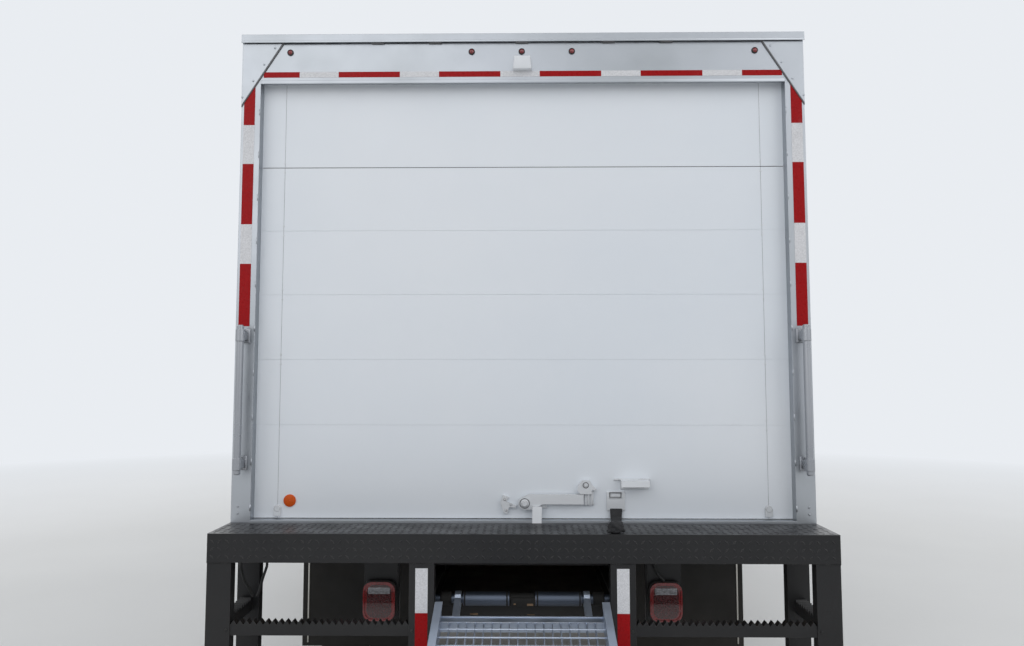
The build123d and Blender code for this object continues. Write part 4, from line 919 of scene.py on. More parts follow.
def makeTailLamps():
    look = tailLook
    low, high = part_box("tail_lamps")
    lens, band, housing, face = newMeshes(4)
    half, tall, z = look["width"] / 2, (high.z - low.z) / 2, (low.z + high.z) / 2
    for side in (-1, 1):
        x = side * (high.x - half)

        def shaped(inset):
            wide, deep = half - inset, tall - inset
            turns = roundedBox(-wide, wide, -deep, deep, look["corner"], 6)
            return [(x + p.x, z + p.y) for p in turns]

        def shrunk(outline, shares, y):
            return [Vector((x + (px - x) * shares[0], y, z + (pz - z) * shares[1])) for px, pz in outline]

        addPlate(housing, shaped(0.0), low.y + 0.016, high.y - low.y - 0.012)
        outline = shaped(look["inset"])
        rim = shrunk(outline, look["rim"], low.y)
        loops = [[lens.verts.new(p) for p in loop] for loop in (
            shrunk(outline, (1.0, 1.0), low.y), rim, [p + forward * look["sunk"] for p in rim],
            shrunk(outline, (1.0, 1.0), low.y + 0.020))]
        outer, ring, sunk, back = loops
        for i in range(len(outline)):
            j = (i + 1) % len(outline)
            for quad in ((outer[i], outer[j], ring[j], ring[i]), (ring[i], ring[j], sunk[j], sunk[i]),
                         (outer[j], outer[i], back[i], back[j])):
                lens.faces.new(quad)
        lens.faces.new(sunk)
        lens.faces.new(back[::-1])
        addPrism(face, shrunk([(p.x, p.z) for p in rim], look["face"], low.y + look["faceBack"]),
                 (0, look["faceThick"], 0))
        top, wide = high.z - look["bandTop"], look["bandHalf"]
        addBox(band, (x - wide, low.y + 0.003, top - look["bandTall"]), (x + wide, low.y + 0.012, top), 0.004)
        for k in range(look["ribs"]):
            rib = x + look["ribPitch"] * (k - (look["ribs"] - 1) / 2)
            addBox(band, (rib - 0.002, low.y + 0.001, top - 0.027), (rib + 0.002, low.y + 0.004, top - 0.003), 0.0008)
        for lift in look["rivets"]:
            addRivet(housing, (x + side * 0.06, low.y + 0.018, low.z + lift), rearward, 0.004)
    finishPiece(face, "tail_lens_faces", "truck", "deepLens")
    finishPiece(lens, "tail_lenses", "truck", "redLens", replaced=("tail_lamps",))
    finishPiece(band, "tail_reverse_bands", "truck", "clearLens")
    finishPiece(housing, "tail_housings", "truck", "sealRubber")


makeDeckTread()
makeBumperDetail()
makeTailLamps()
print("bumper and tail lamps done")

# Ramp: cross rods through the grating, rail lips, plug welds and the bright edge at its hinge end
jointAt = {joint["name"]: Vector(joint["pos_m"]) for joint in frame["record"]["behaviour"]["joints"]}
rampLook = {"slope": 19.1, "width": 0.70, "rail": 0.024, "railStart": 0.150, "railLong": 2.09, "railTop": 0.083,
            "deck": 0.023, "start": 0.195, "end": 2.290, "rodPitch": 0.0500, "rodRadius": 0.0040,
            "welds": (0.255, 0.26, 8)}


def rampPoint(x, along, lift):
    slope = math.radians(rampLook["slope"])
    pivot = jointAt["ramp_tilt"]
    return Vector((x, pivot.y - along * math.cos(slope) - lift * math.sin(slope),
                   pivot.z - along * math.sin(slope) + lift * math.cos(slope)))


def addRampBox(mesh, x0, x1, near, far, low, high):
    corners = [rampPoint(x0, *spot) for spot in ((near, low), (far, low), (far, high), (near, high))]
    addPrism(mesh, corners, (x1 - x0, 0, 0))


def makeRampDetail():
    look, mesh = rampLook, bmesh.new()
    inner, first, deck, top = look["width"] / 2 - look["rail"], look["railStart"], look["deck"], look["railTop"]
    for k in range(int((look["end"] - look["start"]) / look["rodPitch"])):
        along = look["start"] + look["rodPitch"] * (k + 0.8)
        ends = (rampPoint(x, along, deck - 0.002) for x in (-inner, inner))
        addBar(mesh, *ends, look["rodRadius"], 8)
    for side in (-1, 1):
        addRampBox(mesh, side * (inner - 0.006), side * (inner + look["rail"] + 0.0005), first,
                   first + look["railLong"], top - 0.0005, top + 0.004)
        x = side * (inner + 0.012)
        addBar(mesh, rampPoint(x, first - 0.002, top - 0.02), rampPoint(x, first + 0.03, top - 0.02), 0.016, 20)
        for along in spaced(*look["welds"]):
            ends = (rampPoint(side * (inner + out), along, deck + 0.022) for out in (-0.001, 0.002))
            addBar(mesh, *ends, 0.008, 14)
    for lift in (deck - 0.001, deck - 0.02):
        addRampBox(mesh, -inner, inner, first + 0.006, first + 0.012, lift, lift + 0.004)
    addRampBox(mesh, -inner, inner, look["start"] - 0.004, look["start"] + 0.002, deck, deck + 0.003)
    finishPiece(mesh, "ramp_rods", "ramp", "rampAluminiumSkyTint")


# Carriage: pipe with its sleeve, weld rings, collars, rollers and middle block; scrapes on block and pan
carriageLook = {"pipe": 0.019, "roller": 0.029, "rollers": 0.372, "collars": (0.298, 0.345), "sleeve": (0.054, 0.250),
                "weldRings": (0.060, 0.238), "panScrapes": (-0.225, 0.02),
                "blockScrapes": ((0.020, -0.022, 0.046, -0.013), (-0.036, -0.018, -0.027, -0.012))}


def makeCarriage():
    look, (x, y, z) = carriageLook, jointAt["ramp_tilt"]
    pipe, dark, collars, rust = newMeshes(4)
    centre, tube, bore = (0, y, z), look["roller"], look["pipe"] * 0.9
    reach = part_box("ramp_carriage")[1].x
    addBar(pipe, (-reach, y, z), (reach, y, z), look["pipe"], 32)
    for way in (-right, right):
        for mesh, (near, far) in ((collars, (look["rollers"], reach)), (dark, look["collars"])):
            addTurned(mesh, ((near, bore), (near, tube - 0.003), (near + 0.004, tube), (far - 0.004, tube),
                             (far, tube - 0.003), (far, bore)), centre, way, 32)
        near, far = look["sleeve"]
        addTurned(pipe, ((near, 0.018), (near, tube - 0.001), (near + 0.001, tube), (far - 0.002, tube),
                         (far, tube - 0.002), (far, 0.018)), centre, way, 48)
        for near in look["weldRings"]:
            addTurned(dark, ((near, tube - 0.001), (near + 0.002, tube + 0.0015), (near + 0.006, tube + 0.0015),
                             (near + 0.008, tube - 0.001)), centre, way, 40)
    addTurned(dark, ((-0.053, 0.018), (-0.051, 0.0235), (0.051, 0.0235), (0.053, 0.018)), centre, right, 32)
    addBox(dark, (-0.046, y - 0.0285, z - 0.026), (0.054, y - 0.010, z + 0.010), 0.003)
    finishPiece(pipe, "carriage_pipe", "truck", "carriageSteel", replaced=("ramp_carriage",))
    finishPiece(dark, "carriage_block", "truck", "flapRubber")
    finishPiece(collars, "carriage_rollers", "truck", "collarGrey")
    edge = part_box("ramp_tracks")[0].z
    for k, x in enumerate(look["panScrapes"]):
        addBox(rust, (x, y + 0.0605, edge + 0.020), (x + 0.034, y + 0.0625, edge + 0.028 - 0.005 * k), 0.0008)
    for x0, z0, x1, z1 in look["blockScrapes"]:
        addBox(rust, (x0, y - 0.0295, z + z0), (x1, y - 0.0280, z + z1), 0.0004)
    finishPiece(rust, "pan_scrapes", "truck", "rust")


flapLook = {"inner": 0.60, "edgeIn": 0.032, "half": 0.004, "top": 0.955, "bolts": (0.64, 0.13, 5),
            "boltHigh": 0.922, "plate": (0.05, 0.905, 0.94)}


def makeFlapDetail():
    look, (low, high) = flapLook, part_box("mud_flaps")
    strips, bolts = newMeshes(2)
    half, (plateHalf, plateLow, plateHigh) = look["half"], look["plate"]
    for side in (-1, 1):
        for x in (side * (high.x - look["edgeIn"]), side * look["inner"]):
            addBox(strips, (x - half, low.y - 0.004, low.z + 0.02), (x + half, low.y + 0.002, look["top"]), 0.001)
        for x in (side * place for place in spaced(*look["bolts"])):
            addBolt(bolts, (x, low.y - 0.003, look["boltHigh"]), rearward, 0.008)
            addBox(bolts, (x - plateHalf, low.y - 0.004, plateLow), (x + plateHalf, low.y, plateHigh), 0.001)
    finishPiece(strips, "flap_edge_strips", "truck", "zincBolt")
    finishPiece(bolts, "flap_bolts", "truck", "zincBolt")


makeRampDetail()
makeCarriage()
makeFlapDetail()
print("ramp and flaps done")

# Tyres with cut tread: grooves run round, slots cut across them between the pitches
tyreLook = {"bead": 0.286, "radius": 0.465, "half": 0.100, "pitches": 56, "grooves": (-0.062, -0.021, 0.021, 0.062),
            "grooveHalf": 0.0045, "grooveDeep": 0.012, "slotDeep": 0.008, "middleHalf": 0.055, "middleShare": 0.35,
            "skew": 0.35, "turns": ((0.0, 0), (0.74, 0), (0.77, 1), (0.97, 1)),
            "shoulder": ((0.106, 0.006), (0.109, 0.026)),
            "flank": ((0.112, 0.431), (0.1235, 0.408), (0.1250, 0.404), (0.1270, 0.375), (0.1275, 0.361),
                      (0.1240, 0.340), (0.1180, 0.325), (0.1165, 0.322), (0.1060, 0.300))}


def addTyre(mesh, x, y, z):
    look = tyreLook
    outer, half, pitches = look["radius"], look["grooveHalf"], look["pitches"]
    tread = [-look["half"]]
    for middle in look["grooves"]:
        tread += [middle - half - 0.001, middle - half, middle + half, middle + half + 0.001]
    tread.append(look["half"])

    def sunk(px):
        return any(abs(px - middle) <= half + 0.0001 for middle in look["grooves"])

    # Each point of the section: place across, radius and how deep a slot cuts it
    flank = [(px, outer - drop, look["slotDeep"], look["skew"]) for px, drop in look["shoulder"]]
    flank += [(px, radius, 0.0, 0.0) for px, radius in look["flank"]] + [(0.098, look["bead"], 0.0, 0.0)]
    section = [(-px, *rest) for px, *rest in reversed(flank)]
    for px in tread:
        share = 0.0 if sunk(px) else look["middleShare"] if abs(px) < look["middleHalf"] else 1.0
        section.append((px, outer - (look["grooveDeep"] if sunk(px) else 0.0), look["slotDeep"] * share, look["skew"]))
    section += flank
    rings = []
    for pitch in range(pitches):
        for share, slot in look["turns"]:
            ring = []
            for px, radius, cut, skew in section:
                angle = 2 * math.pi * (pitch + share + skew * px / 0.1) / pitches
                depth = radius - slot * cut
                ring.append(mesh.verts.new((x + px, y + depth * math.cos(angle), z + depth * math.sin(angle))))
            rings.append(ring)
    bridge(mesh, rings, True)


# Disc wheels: rim barrel, dished disc with hand holes, hub cap and nuts
wheelLook = {"beadWidth": 0.194, "bead": 0.286, "well": 0.014, "lip": 0.016, "edge": 0.1105, "lipWidth": 0.008,
             "plate": 0.012, "flange": 0.150, "hole": 0.028, "holes": 5, "holeCircle": 0.205, "studs": 8,
             "studCircle": 0.1125,
             "nut": ((0.0, 0.004, 0.0235, 24), (0.004, 0.026, 0.0185, 6), (0.026, 0.040, 0.0095, 14)),
             "cap": 0.030, "capBolts": 8, "capCircle": 0.078, "cutReach": (0.70, 1.22)}


def circlePoints(y, z, radius, count, first=0.0):
    return [(y + u, z + v) for u, v in ringPoints(radius, count, first)]


def addBarrel(mesh, x, y, z):
    look = wheelLook
    half, bead, edge, lip = look["beadWidth"] / 2, look["bead"], look["edge"], look["bead"] + look["lip"]
    well = bead - look["well"]
    flange = [(half - 0.030, bead - 0.022), (half - 0.012, bead - 0.003), (half, bead - 0.001),
              (edge - 0.006, bead + 0.006), (edge - 0.003, lip - 0.003), (edge + 0.002, lip),
              (edge + 0.004, bead + 0.010), (half + look["lipWidth"], well + 0.004), (half - 0.008, well - 0.002),
              (half - 0.028, bead - 0.034)]
    addTurned(mesh, flange + [(-px, radius) for px, radius in reversed(flange)], (x, y, z))


def addDisc(mesh, x, face, side, y, z):
    # A dished disc whose flange bears on the hub at face
    look = wheelLook
    line = [(x + side * 0.046, look["bead"] - look["well"] - 0.0005), (x + side * 0.056, 0.262),
            (face + side * 0.006, 0.170), (face + side * 0.001, look["flange"]), (face, 0.080)]
    back = [(px + side * look["plate"], radius) for px, radius in reversed(line)]
    addTurned(mesh, line + back, (0, y, z), right, 80)


def cutHoles(piece, side, y, z):
    look, cutters = wheelLook, bmesh.new()
    for spot in circlePoints(y, z, look["holeCircle"], look["holes"], 90):
        addBar(cutters, *((side * x, *spot) for x in look["cutReach"]), look["hole"], 28)
    tool = placeMesh("cutters", cutters)
    cut = piece.modifiers.new("holes", "BOOLEAN")
    cut.operation, cut.solver, cut.object = "DIFFERENCE", "EXACT", tool
    shaped = bakeModifiers(piece)
    bpy.data.objects.remove(tool)
    shaped.set_sharp_from_angle(angle=math.radians(35))


def addHub(mesh, way, y, z, start, end, radius, face):
    look = wheelLook
    foot = end - look["cap"]
    addKnob(mesh, ((start, 0.036), (start, radius), (face - 0.001, radius), (face - 0.001, 0.092), (foot, 0.086),
                   (foot, 0.070), (end - 0.006, 0.066), (end, 0.052), (end, 0.0005)), (0, y, z), way, 64)
    for spot in circlePoints(y, z, look["capCircle"], look["capBolts"]):
        addBolt(mesh, (way.x * foot, *spot), way, 0.006)
    for spot in circlePoints(y, z, look["studCircle"], look["studs"], 22.5):
        for near, far, wide, sides in look["nut"]:
            addBar(mesh, *((way.x * (face + x), *spot) for x in (near, far)), wide, sides)


# For each axle: node and piece names, where the tyres stand, discs as (tyre, face, way) and the hub
axleLook = {
    "front": {"spin": "front_wheel", "tyre": "front_tyre", "rim": "front_rim", "tyres": (1.020,),
              "discs": ((1.020, 1.090, 1),), "hub": (0.965, 1.110, 0.092, 1.102)},
    "rear": {"spin": "rear_wheels", "tyre": "rear_tyres", "rim": "rear_rims", "tyres": (1.0925, 0.8025),
             "discs": ((1.0925, 0.9595, -1), (0.8025, 0.9355, 1)), "hub": (0.8875, 1.1525, 0.106, 0.9605)},
}


def makeWheels():
    for name, side in sides:
        for kind, look in axleLook.items():
            body = f"{look['spin']}_{name}"
            x, y, z = jointAt[f"{body}_spin"]
            tread, discs, nuts = newMeshes(3)
            for x in look["tyres"]:
                addTyre(tread, side * x, y, z)
                addBarrel(discs, side * x, y, z)
            finishPiece(tread, f"{kind}_tread_{name}", body, "treadRubber", 30.0, (f"{look['tyre']}_{name}",))
            for x, face, way in look["discs"]:
                addDisc(discs, side * x, side * face, side * way, y, z)
            addHub(nuts, right * side, y, z, *look["hub"])
            piece = finishPiece(discs, f"{kind}_discs_{name}", body, "rimWhite",
                                replaced=(f"{look['rim']}_{name}",))
            cutHoles(piece, side, y, z)
            finishPiece(nuts, f"{kind}_hub_{name}", body, "zincBolt")


makeWheels()
print("wheels done")

# Cab: window seals, wipers, handles, mirrors and entry rails
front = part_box("front_bumper")[1].y
cabLook = {"skin": 1.040, "belt": 1.640, "roof": 2.390, "lean": 0.080, "glassBase": 3.7026, "rake": 0.450 / 0.700,
           "window": ((3.4927, 1.665), (3.1456, 2.205), (2.7226, 2.205), (2.7226, 1.665)), "windowRound": 0.040,
           "shield": ((-0.893, 1.685), (0.893, 1.685), (0.840, 2.270), (-0.840, 2.270)), "shieldRound": 0.060,
           "seal": 0.011, "doorGap": ((3.6236, 0.806), (3.6236, 1.610), (3.215, 2.262), (2.668, 2.262), (2.668, 0.806)),
           "doorStrip": 0.0035, "stripIn": 0.022}


def skinX(z):
    return cabLook["skin"] - max(0.0, z - cabLook["belt"]) * cabLook["lean"] / (cabLook["roof"] - cabLook["belt"])


def shieldPoint(x, z, out=0.0):
    return Vector((x, cabLook["glassBase"] - cabLook["rake"] * (z - cabLook["belt"]) + out, z))


wiperLook = {"x": (-0.42, 0.42), "pivot": (-0.12, 1.652), "tip": (0.22, 1.775), "boss": (0.020, 0.015), "arm": 0.0065,
             "armBends": ((0.3, 0.026, 0.016), (0.8, 0.020, 0.012)), "bladeReach": 0.27, "bladeLift": 0.028,
             "blade": 0.0045, "rubberHalf": 0.006}


def addWiper(mesh, x):
    look = wiperLook
    pivot = shieldPoint(x + look["pivot"][0], look["pivot"][1], 0.004)
    tip = shieldPoint(x + look["tip"][0], look["tip"][1], 0.010)
    half = look["rubberHalf"]
    addBar(mesh, pivot - Vector((0, 0.006, 0.004)), pivot + Vector((0, 0.024, 0.016)), look["boss"][0], 20,
           look["boss"][1])
    bends = [pivot.lerp(tip, share) + Vector((0, dy, dz)) for share, dy, dz in look["armBends"]]
    addTube(mesh, [pivot + Vector((0, 0.020, 0.012)), *bends, tip + Vector((0, 0.006, 0.004))], look["arm"], 8)
    for way in (-1, 1):
        end = shieldPoint(tip.x + way * look["bladeReach"], tip.z + way * look["bladeLift"], 0.006)
        addTube(mesh, (tip + Vector((0, 0.008, 0.005)), tip.lerp(end, 0.6) + Vector((0, 0.010, 0.007)), end),
                look["blade"], 6)
        addBox(mesh, (min(tip.x, end.x), end.y - half, end.z - half), (max(tip.x, end.x), end.y + 0.004, end.z + half))


def makeCabSeals():
    look, seal = cabLook, bmesh.new()
    loop = roundedOutline(look["shield"], look["shieldRound"])
    addHoop(seal, [shieldPoint(p.x, p.y, 0.001) for p in loop], look["seal"], 10, 0.7)
    for x in wiperLook["x"]:    # wipers park low across the windshield
        addWiper(seal, x)
    finishPiece(seal, "windshield_seal", "truck", "sealRubber")
    for name, side in sides:
        mesh, jamb = newMeshes(2)
        loop = roundedOutline(look["window"], look["windowRound"])
        addHoop(mesh, [(side * (skinX(p.y) + 0.0005), p.x, p.y) for p in loop], look["seal"], 10, 0.6)
        finishPiece(mesh, f"window_seal_{name}", f"door_{name}", "sealRubber")
        # The door's weather strip stays on the cab, in the gap
        loop = roundedOutline(look["doorGap"], 0.012, 3)
        addHoop(jamb, [(side * (skinX(p.y) - look["stripIn"]), p.x, p.y) for p in loop], look["doorStrip"], 6)
        finishPiece(jamb, f"door_strip_{name}", "truck", "sealRubber")


doorFittings = {"handle": (2.770, 2.930, 1.300), "plateHalf": 0.030, "plateLift": 0.006, "gripLift": 0.020,
                "lock": ((0.0, 0.011), (0.004, 0.011), (0.0055, 0.009), (0.0055, 0.0005)), "lockDrop": 0.058,
                "mirrorX": (1.212, 1.388), "mirrors": ((1.700, 1.996, 0.004), (1.590, 1.685, 0.005)),
                "mirrorBolts": (1.545, 1.625), "boltHalf": 0.017, "railOut": 0.052, "railY": 2.545,
                "railHigh": (1.18, 1.775), "rail": 0.0135, "railFoot": 0.028}


def makeDoorFittings():
    look, skin = doorFittings, cabLook["skin"]
    y0, y1, z = look["handle"]
    wide = look["plateHalf"]
    plate = roundedBox(y0, y1, z - wide, z + wide, 0.016, 5)
    grip = roundedBox(y0 + 0.012, y1 - 0.012, z - 0.018, z + 0.016, 0.010, 4)
    for name, side in sides:
        shell, bright, glass, rail = newMeshes(4)
        addSidePlate(shell, plate, side * (skin - 0.001), side * look["plateLift"])
        addSidePlate(shell, grip, side * (skin + 0.004), side * look["gripLift"])
        addKnob(bright, look["lock"], (side * skin, y0 + 0.02, z - look["lockDrop"]), (side, 0, 0), 24)
        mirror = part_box(f"mirror_{name}")[0]
        x0, x1 = (side * x for x in look["mirrorX"])
        for low, high, thick in look["mirrors"]:
            addPlate(glass, roundedBox(x0, x1, low, high, 0.018, 5), mirror.y + 0.011, -thick)
        for level in look["mirrorBolts"]:
            for step in (-look["boltHalf"], look["boltHalf"]):
                addBolt(bright, (side * (skin + 0.010), mirror.y + 0.025 + step, level), (side, 0, 0), 0.006)
        finishPiece(shell, f"door_handle_{name}", f"door_{name}", "mirrorShell")
        finishPiece(bright, f"door_lock_{name}", f"door_{name}", "polished")
        finishPiece(glass, f"mirror_glass_{name}", f"door_{name}", "mirrorGlass")
        # Entry grab rail behind the door
        out, y, (low, high) = skin + look["railOut"], look["railY"], look["railHigh"]
        route = ((skin, low), (skin + 0.030, low), (out, low + 0.025), (out, high - 0.025),
                 (skinX(high) + 0.030, high), (skinX(high) - 0.004, high))
        addTube(rail, [(side * x, y, level) for x, level in route], look["rail"], 16)
        for level in (low, high):
            addBar(rail, *((side * (skinX(level) + x), y, level) for x in (-0.004, 0.006)), look["railFoot"], 24)
        finishPiece(rail, f"cab_grab_rail_{name}", "truck", "polished")


# Headlamps: an open bucket with two bowls behind a clear pane, and an amber turn lens at its outer end
lampLook = {"inner": 0.500, "outer": 0.800, "low": 0.850, "high": 1.010, "wall": 0.006, "bowl": 0.062,
            "bowls": (0.572, 0.704), "bowlDeep": 0.045, "bowlBack": 0.060,
            "bowlRings": (0.014, 0.025, 0.036, 0.047, 0.056),
            "bulb": ((0.0, 0.014), (0.020, 0.014), (0.026, 0.010), (0.026, 0.0005)),
            "pane": (0.502, 0.776), "turn": (0.779, 0.798), "paneThick": 0.004, "turnThick": 0.012}


def makeHeadlamps():
    look, box = lampLook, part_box("headlamps")
    shell, bright, clear, amber = newMeshes(4)
    back, face, bowl = box[0].y, box[1].y, look["bowl"]
    low, high, wall = look["low"], look["high"], look["wall"]
    middle, edge = (low + high) / 2, bowl + 0.005
    curve = [(look["bowlDeep"] * (r / bowl) ** 2, r) for r in (*look["bowlRings"], bowl)]
    curve += [(look["bowlDeep"], edge), (0.002, edge), (-0.004, look["bowlRings"][0])]
    collar = ((-0.018, bowl - 0.002), (-0.010, bowl - 0.002), (-0.010, bowl + 0.006), (-0.018, bowl + 0.006))
    for side in (-1, 1):
        x0, x1 = side * look["inner"], side * look["outer"]
        addBox(shell, (x0, back, low), (x1, back + wall, high))
        for z in (low, high - wall):
            addBox(shell, (x0, back + wall, z), (x1, face - 0.004, z + wall))
        for x in (x0, x1 - side * wall):
            addBox(shell, (x, back + wall, low + wall), (x + side * wall, face - 0.004, high - wall))
        for x in look["bowls"]:
            centre = (side * x, face - look["bowlBack"], middle)
            addTurned(bright, curve, centre, forward, 48)
            addKnob(bright, look["bulb"], centre, forward, 20)
            addTurned(shell, collar, (side * x, face, middle), forward, 48)
        for mesh, (near, far), thick, bend, steps in ((clear, look["pane"], look["paneThick"], 0.012, 4),
                                                      (amber, look["turn"], look["turnThick"], 0.006, 3)):
            pane = roundedBox(side * near, side * far, low + 0.002, high - 0.002, bend, steps)
            addPlate(mesh, pane, face - thick, thick)
    finishPiece(shell, "headlamp_buckets", "hood", "mirrorShell", replaced=("headlamps",))
    finishPiece(bright, "headlamp_bowls", "hood", "polished")
    finishPiece(clear, "headlamp_panes", "hood", "cabGlass")
    finishPiece(amber, "turn_lenses", "hood", "amberLens")


# Hood: grille mesh and bright surround, fender lips, latches, vents, repeaters and cowl slots
hoodLook = {"grille": (0.430, 0.820, 1.180), "mesh": 0.0130, "wire": 0.0012, "barPitch": 0.080, "bars": 5,
            "nose": ((0.720, -0.085), (0.900, -0.060), (1.190, -0.090)), "surround": 0.008, "archStart": 27,
            "archSteps": 32, "axleHigh": 0.465,
            "lip": ((0.566, 1.125), (0.566, 1.152), (0.572, 1.156), (0.586, 1.155), (0.592, 1.149), (0.580, 1.147),
                    (0.572, 1.146), (0.572, 1.125)),
            "latch": (0.800, 1.400), "vents": (4.06, 0.05, 4), "ventHigh": (1.22, 0.10),
            "repeater": (3.805, 3.870, 1.000, 1.030), "slots": 14, "slotHalf": 0.46, "slotBack": 1.34,
            "slotHigh": 1.5849824}


def noseAt(z):
    nose = hoodLook["nose"]
    for (z0, y0), (z1, y1) in zip(nose, nose[1:]):
        if z <= z1:
            return front + y0 + (y1 - y0) * (z - z0) / (z1 - z0)
    return front + nose[-1][1]


def makeGrille(wires, trim):
    look = hoodLook
    (half, low, high), wire, edge = look["grille"], look["wire"], look["surround"]
    back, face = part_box("grille")
    y = back.y - 0.006
    columns, rows = int(2 * half / look["mesh"]), int((high - low) / look["mesh"])
    for k in range(columns + 1):
        x = -half + 0.004 + k * (2 * half - 0.008) / columns
        addBox(wires, (x - wire, y, low), (x + wire, y + 0.0022, high))
    for k in range(rows + 1):
        z = low + 0.004 + k * (high - low - 0.008) / rows
        addBox(wires, (-half, y - 0.0018, z - wire), (half, y, z + wire))
    for k in range(-look["bars"], look["bars"] + 1):    # rounded bright faces on the grille's bars
        x = k * look["barPitch"]
        addBar(trim, (x, face.y + 0.001, low + 0.030), (x, face.y + 0.001, high - 0.030), 0.0085, 12)
    surround = roundedBox(-half - edge, half + edge, low - edge, high + edge, 0.030, 5)
    addHoop(trim, [(p.x, noseAt(p.y) + 0.002, p.y) for p in surround], 0.010, 10, 0.8)


def addFenderLip(mesh, side):
    look, y = hoodLook, jointAt["front_wheel_left_spin"].y
    rows = []
    for step in range(look["archSteps"] + 1):
        a = math.radians(look["archStart"] + (180 - 2 * look["archStart"]) * step / look["archSteps"])
        rows.append([(side * x, y + r * math.cos(a), look["axleHigh"] + r * math.sin(a)) for r, x in look["lip"]])
    bridge(mesh, rows)


def makeHoodDetail():
    look = hoodLook
    wires, trim, rubber, repeaters, slots = newMeshes(5)
    makeGrille(wires, trim)
    finishPiece(wires, "grille_mesh", "hood", "chassisBlack", 30.0)
    y0, (latchX, z), (ventLow, ventTall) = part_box("hood")[0].y + 0.020, look["latch"], look["ventHigh"]
    near, far, low, high = look["repeater"]
    for side in (-1, 1):
        addFenderLip(rubber, side)
        # rubber latch at the rear of the hood's side, and its bright keeper
        x = side * latchX
        addBox(rubber, (x - side * 0.002, y0, z - 0.020), (x + side * 0.012, y0 + 0.105, z + 0.020), 0.006)
        addBar(rubber, (x + side * 0.004, y0 + 0.098, z), (x + side * 0.026, y0 + 0.098, z), 0.016, 20, 0.019)
        addBox(trim, (x - side * 0.002, y0 + 0.080, z - 0.030), (x + side * 0.006, y0 + 0.120, z + 0.030), 0.003)
        for y in spaced(*look["vents"]):    # louvres of the side vent
            louvre = ((x - side * 0.001, y, ventLow), (x + side * 0.012, y + 0.01, ventLow),
                      (x - side * 0.001, y + 0.04, ventLow))
            addPrism(rubber, louvre, (0, 0, ventTall))
        # turn repeater on the fender, in a rubber frame
        addBox(rubber, (side * 1.149, near - 0.005, low - 0.005), (side * 1.153, far + 0.005, high + 0.005), 0.002)
        addBox(repeaters, (side * 1.152, near, low), (side * 1.160, far, high), 0.004)
    finishPiece(trim, "hood_bright_trim", "hood", "polished")
    finishPiece(rubber, "hood_rubber", "hood", "sealRubber")
    finishPiece(repeaters, "fender_repeaters", "hood", "amberLens")
    y, z, half = front - look["slotBack"], look["slotHigh"], look["slotHalf"]
    for k in range(look["slots"]):    # intake slots ahead of the windshield
        x = -half + 2 * half * k / (look["slots"] - 1)
        addBox(slots, (x - 0.024, y - 0.005, z + 0.0005), (x + 0.024, y + 0.003, z + 0.0035), 0.0015)
    finishPiece(slots, "cowl_slots", "hood", "sealRubber")


# Front bumper: bolts on the swept ends and two tow hooks below
bumperFront = {"boltX": (0.985, 1.065), "boltZ": (0.50, 0.62), "sweepStart": 0.900, "sweep": 0.110 / 0.260,
               "bolt": ((0.0, 0.017), (0.004, 0.017), (0.009, 0.011), (0.010, 0.0005)), "boltWay": (0.39, 0.92),
               "hookX": 0.33, "hook": ((0.20, 0.425), (0.06, 0.415), (0.018, 0.400), (0.022, 0.372),
                                       (0.055, 0.366), (0.075, 0.378)), "hookRadius": 0.013}


def makeBumperFront():
    look = bumperFront
    bolts, hooks = newMeshes(2)
    wayX, wayY = look["boltWay"]
    for side in (-1, 1):
        for x in look["boltX"]:
            face = front - 0.001 - (x - look["sweepStart"]) * look["sweep"]
            for z in look["boltZ"]:
                addKnob(bolts, look["bolt"], (side * x, face, z), (side * wayX, wayY, 0), 24)
        addTube(hooks, [(side * look["hookX"], front - back, z) for back, z in look["hook"]], look["hookRadius"], 12)
    finishPiece(bolts, "bumper_bolts", "truck", "polished")
    finishPiece(hooks, "tow_hooks", "truck", "chassisBlack")


stepLook = {"inner": 0.785, "steps": ((0.390, 1.090), (0.630, 1.050)), "margin": 0.014}


def makeStepTread():
    look, mesh, pitch = stepLook, bmesh.new(), treadLook["pitch"]
    low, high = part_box("cab_steps")
    rows = int((high.y - low.y - 0.03) / pitch)
    for way in (-right, right):
        for level, outer in look["steps"]:
            corner = Vector((way.x * look["inner"], low.y + look["margin"], level))
            treadField(mesh, corner, way, forward, up, int((outer - look["inner"]) / pitch), rows)
    finishPiece(mesh, "step_tread", "truck", "chassisBlack", 20.0)


makeCabSeals()
makeDoorFittings()
makeHeadlamps()
makeHoodDetail()
makeBumperFront()
makeStepTread()
print("cab outside done")

# Seats: padded cushions and backs on boxes; stations count back from the front bumper
seatLook = {"driver": {"sides": (-0.760, -0.200), "seams": (0.22, 0.78)},
            "bench": {"sides": (-0.100, 0.760), "seams": (0.15, 0.5, 0.85)},
            "cushion": (2.500, 2.050, 1.262, 1.378), "cushionSeam": 1.350,
            "back": (2.567, 2.457, 1.362, 1.930), "backSeam": 2.500, "lean": 0.125,
            "boxes": ((0.06, 2.56, 2.08, 1.000, 1.262, 0.012), (0.03, 2.53, 2.06, 1.235, 1.268, 0.006)),
            "seamDepth": 0.0055, "seamWide": 0.0065, "voxel": 0.009, "cap": 0.014, "pressure": 4.0,
            "quality": 4, "frames": 20}


def sew(data, channels, axis, level):
    # Sewn channels along the pad and a welt seam round its side, pressed in
    normals = [vert.normal.copy() for vert in data.vertices]
    depth, wide = seatLook["seamDepth"], seatLook["seamWide"]
    for vert, normal in zip(data.vertices, normals):
        facing = abs(normal[axis])
        channel = max(math.exp(-((vert.co.x - place) / wide) ** 2) for place in channels) * min(1.0, facing * 1.6)
        welt = math.exp(-((vert.co[axis] - level) / wide) ** 2) * (1 - min(1.0, facing * 1.4))
        vert.co -= normal * depth * max(channel, welt)


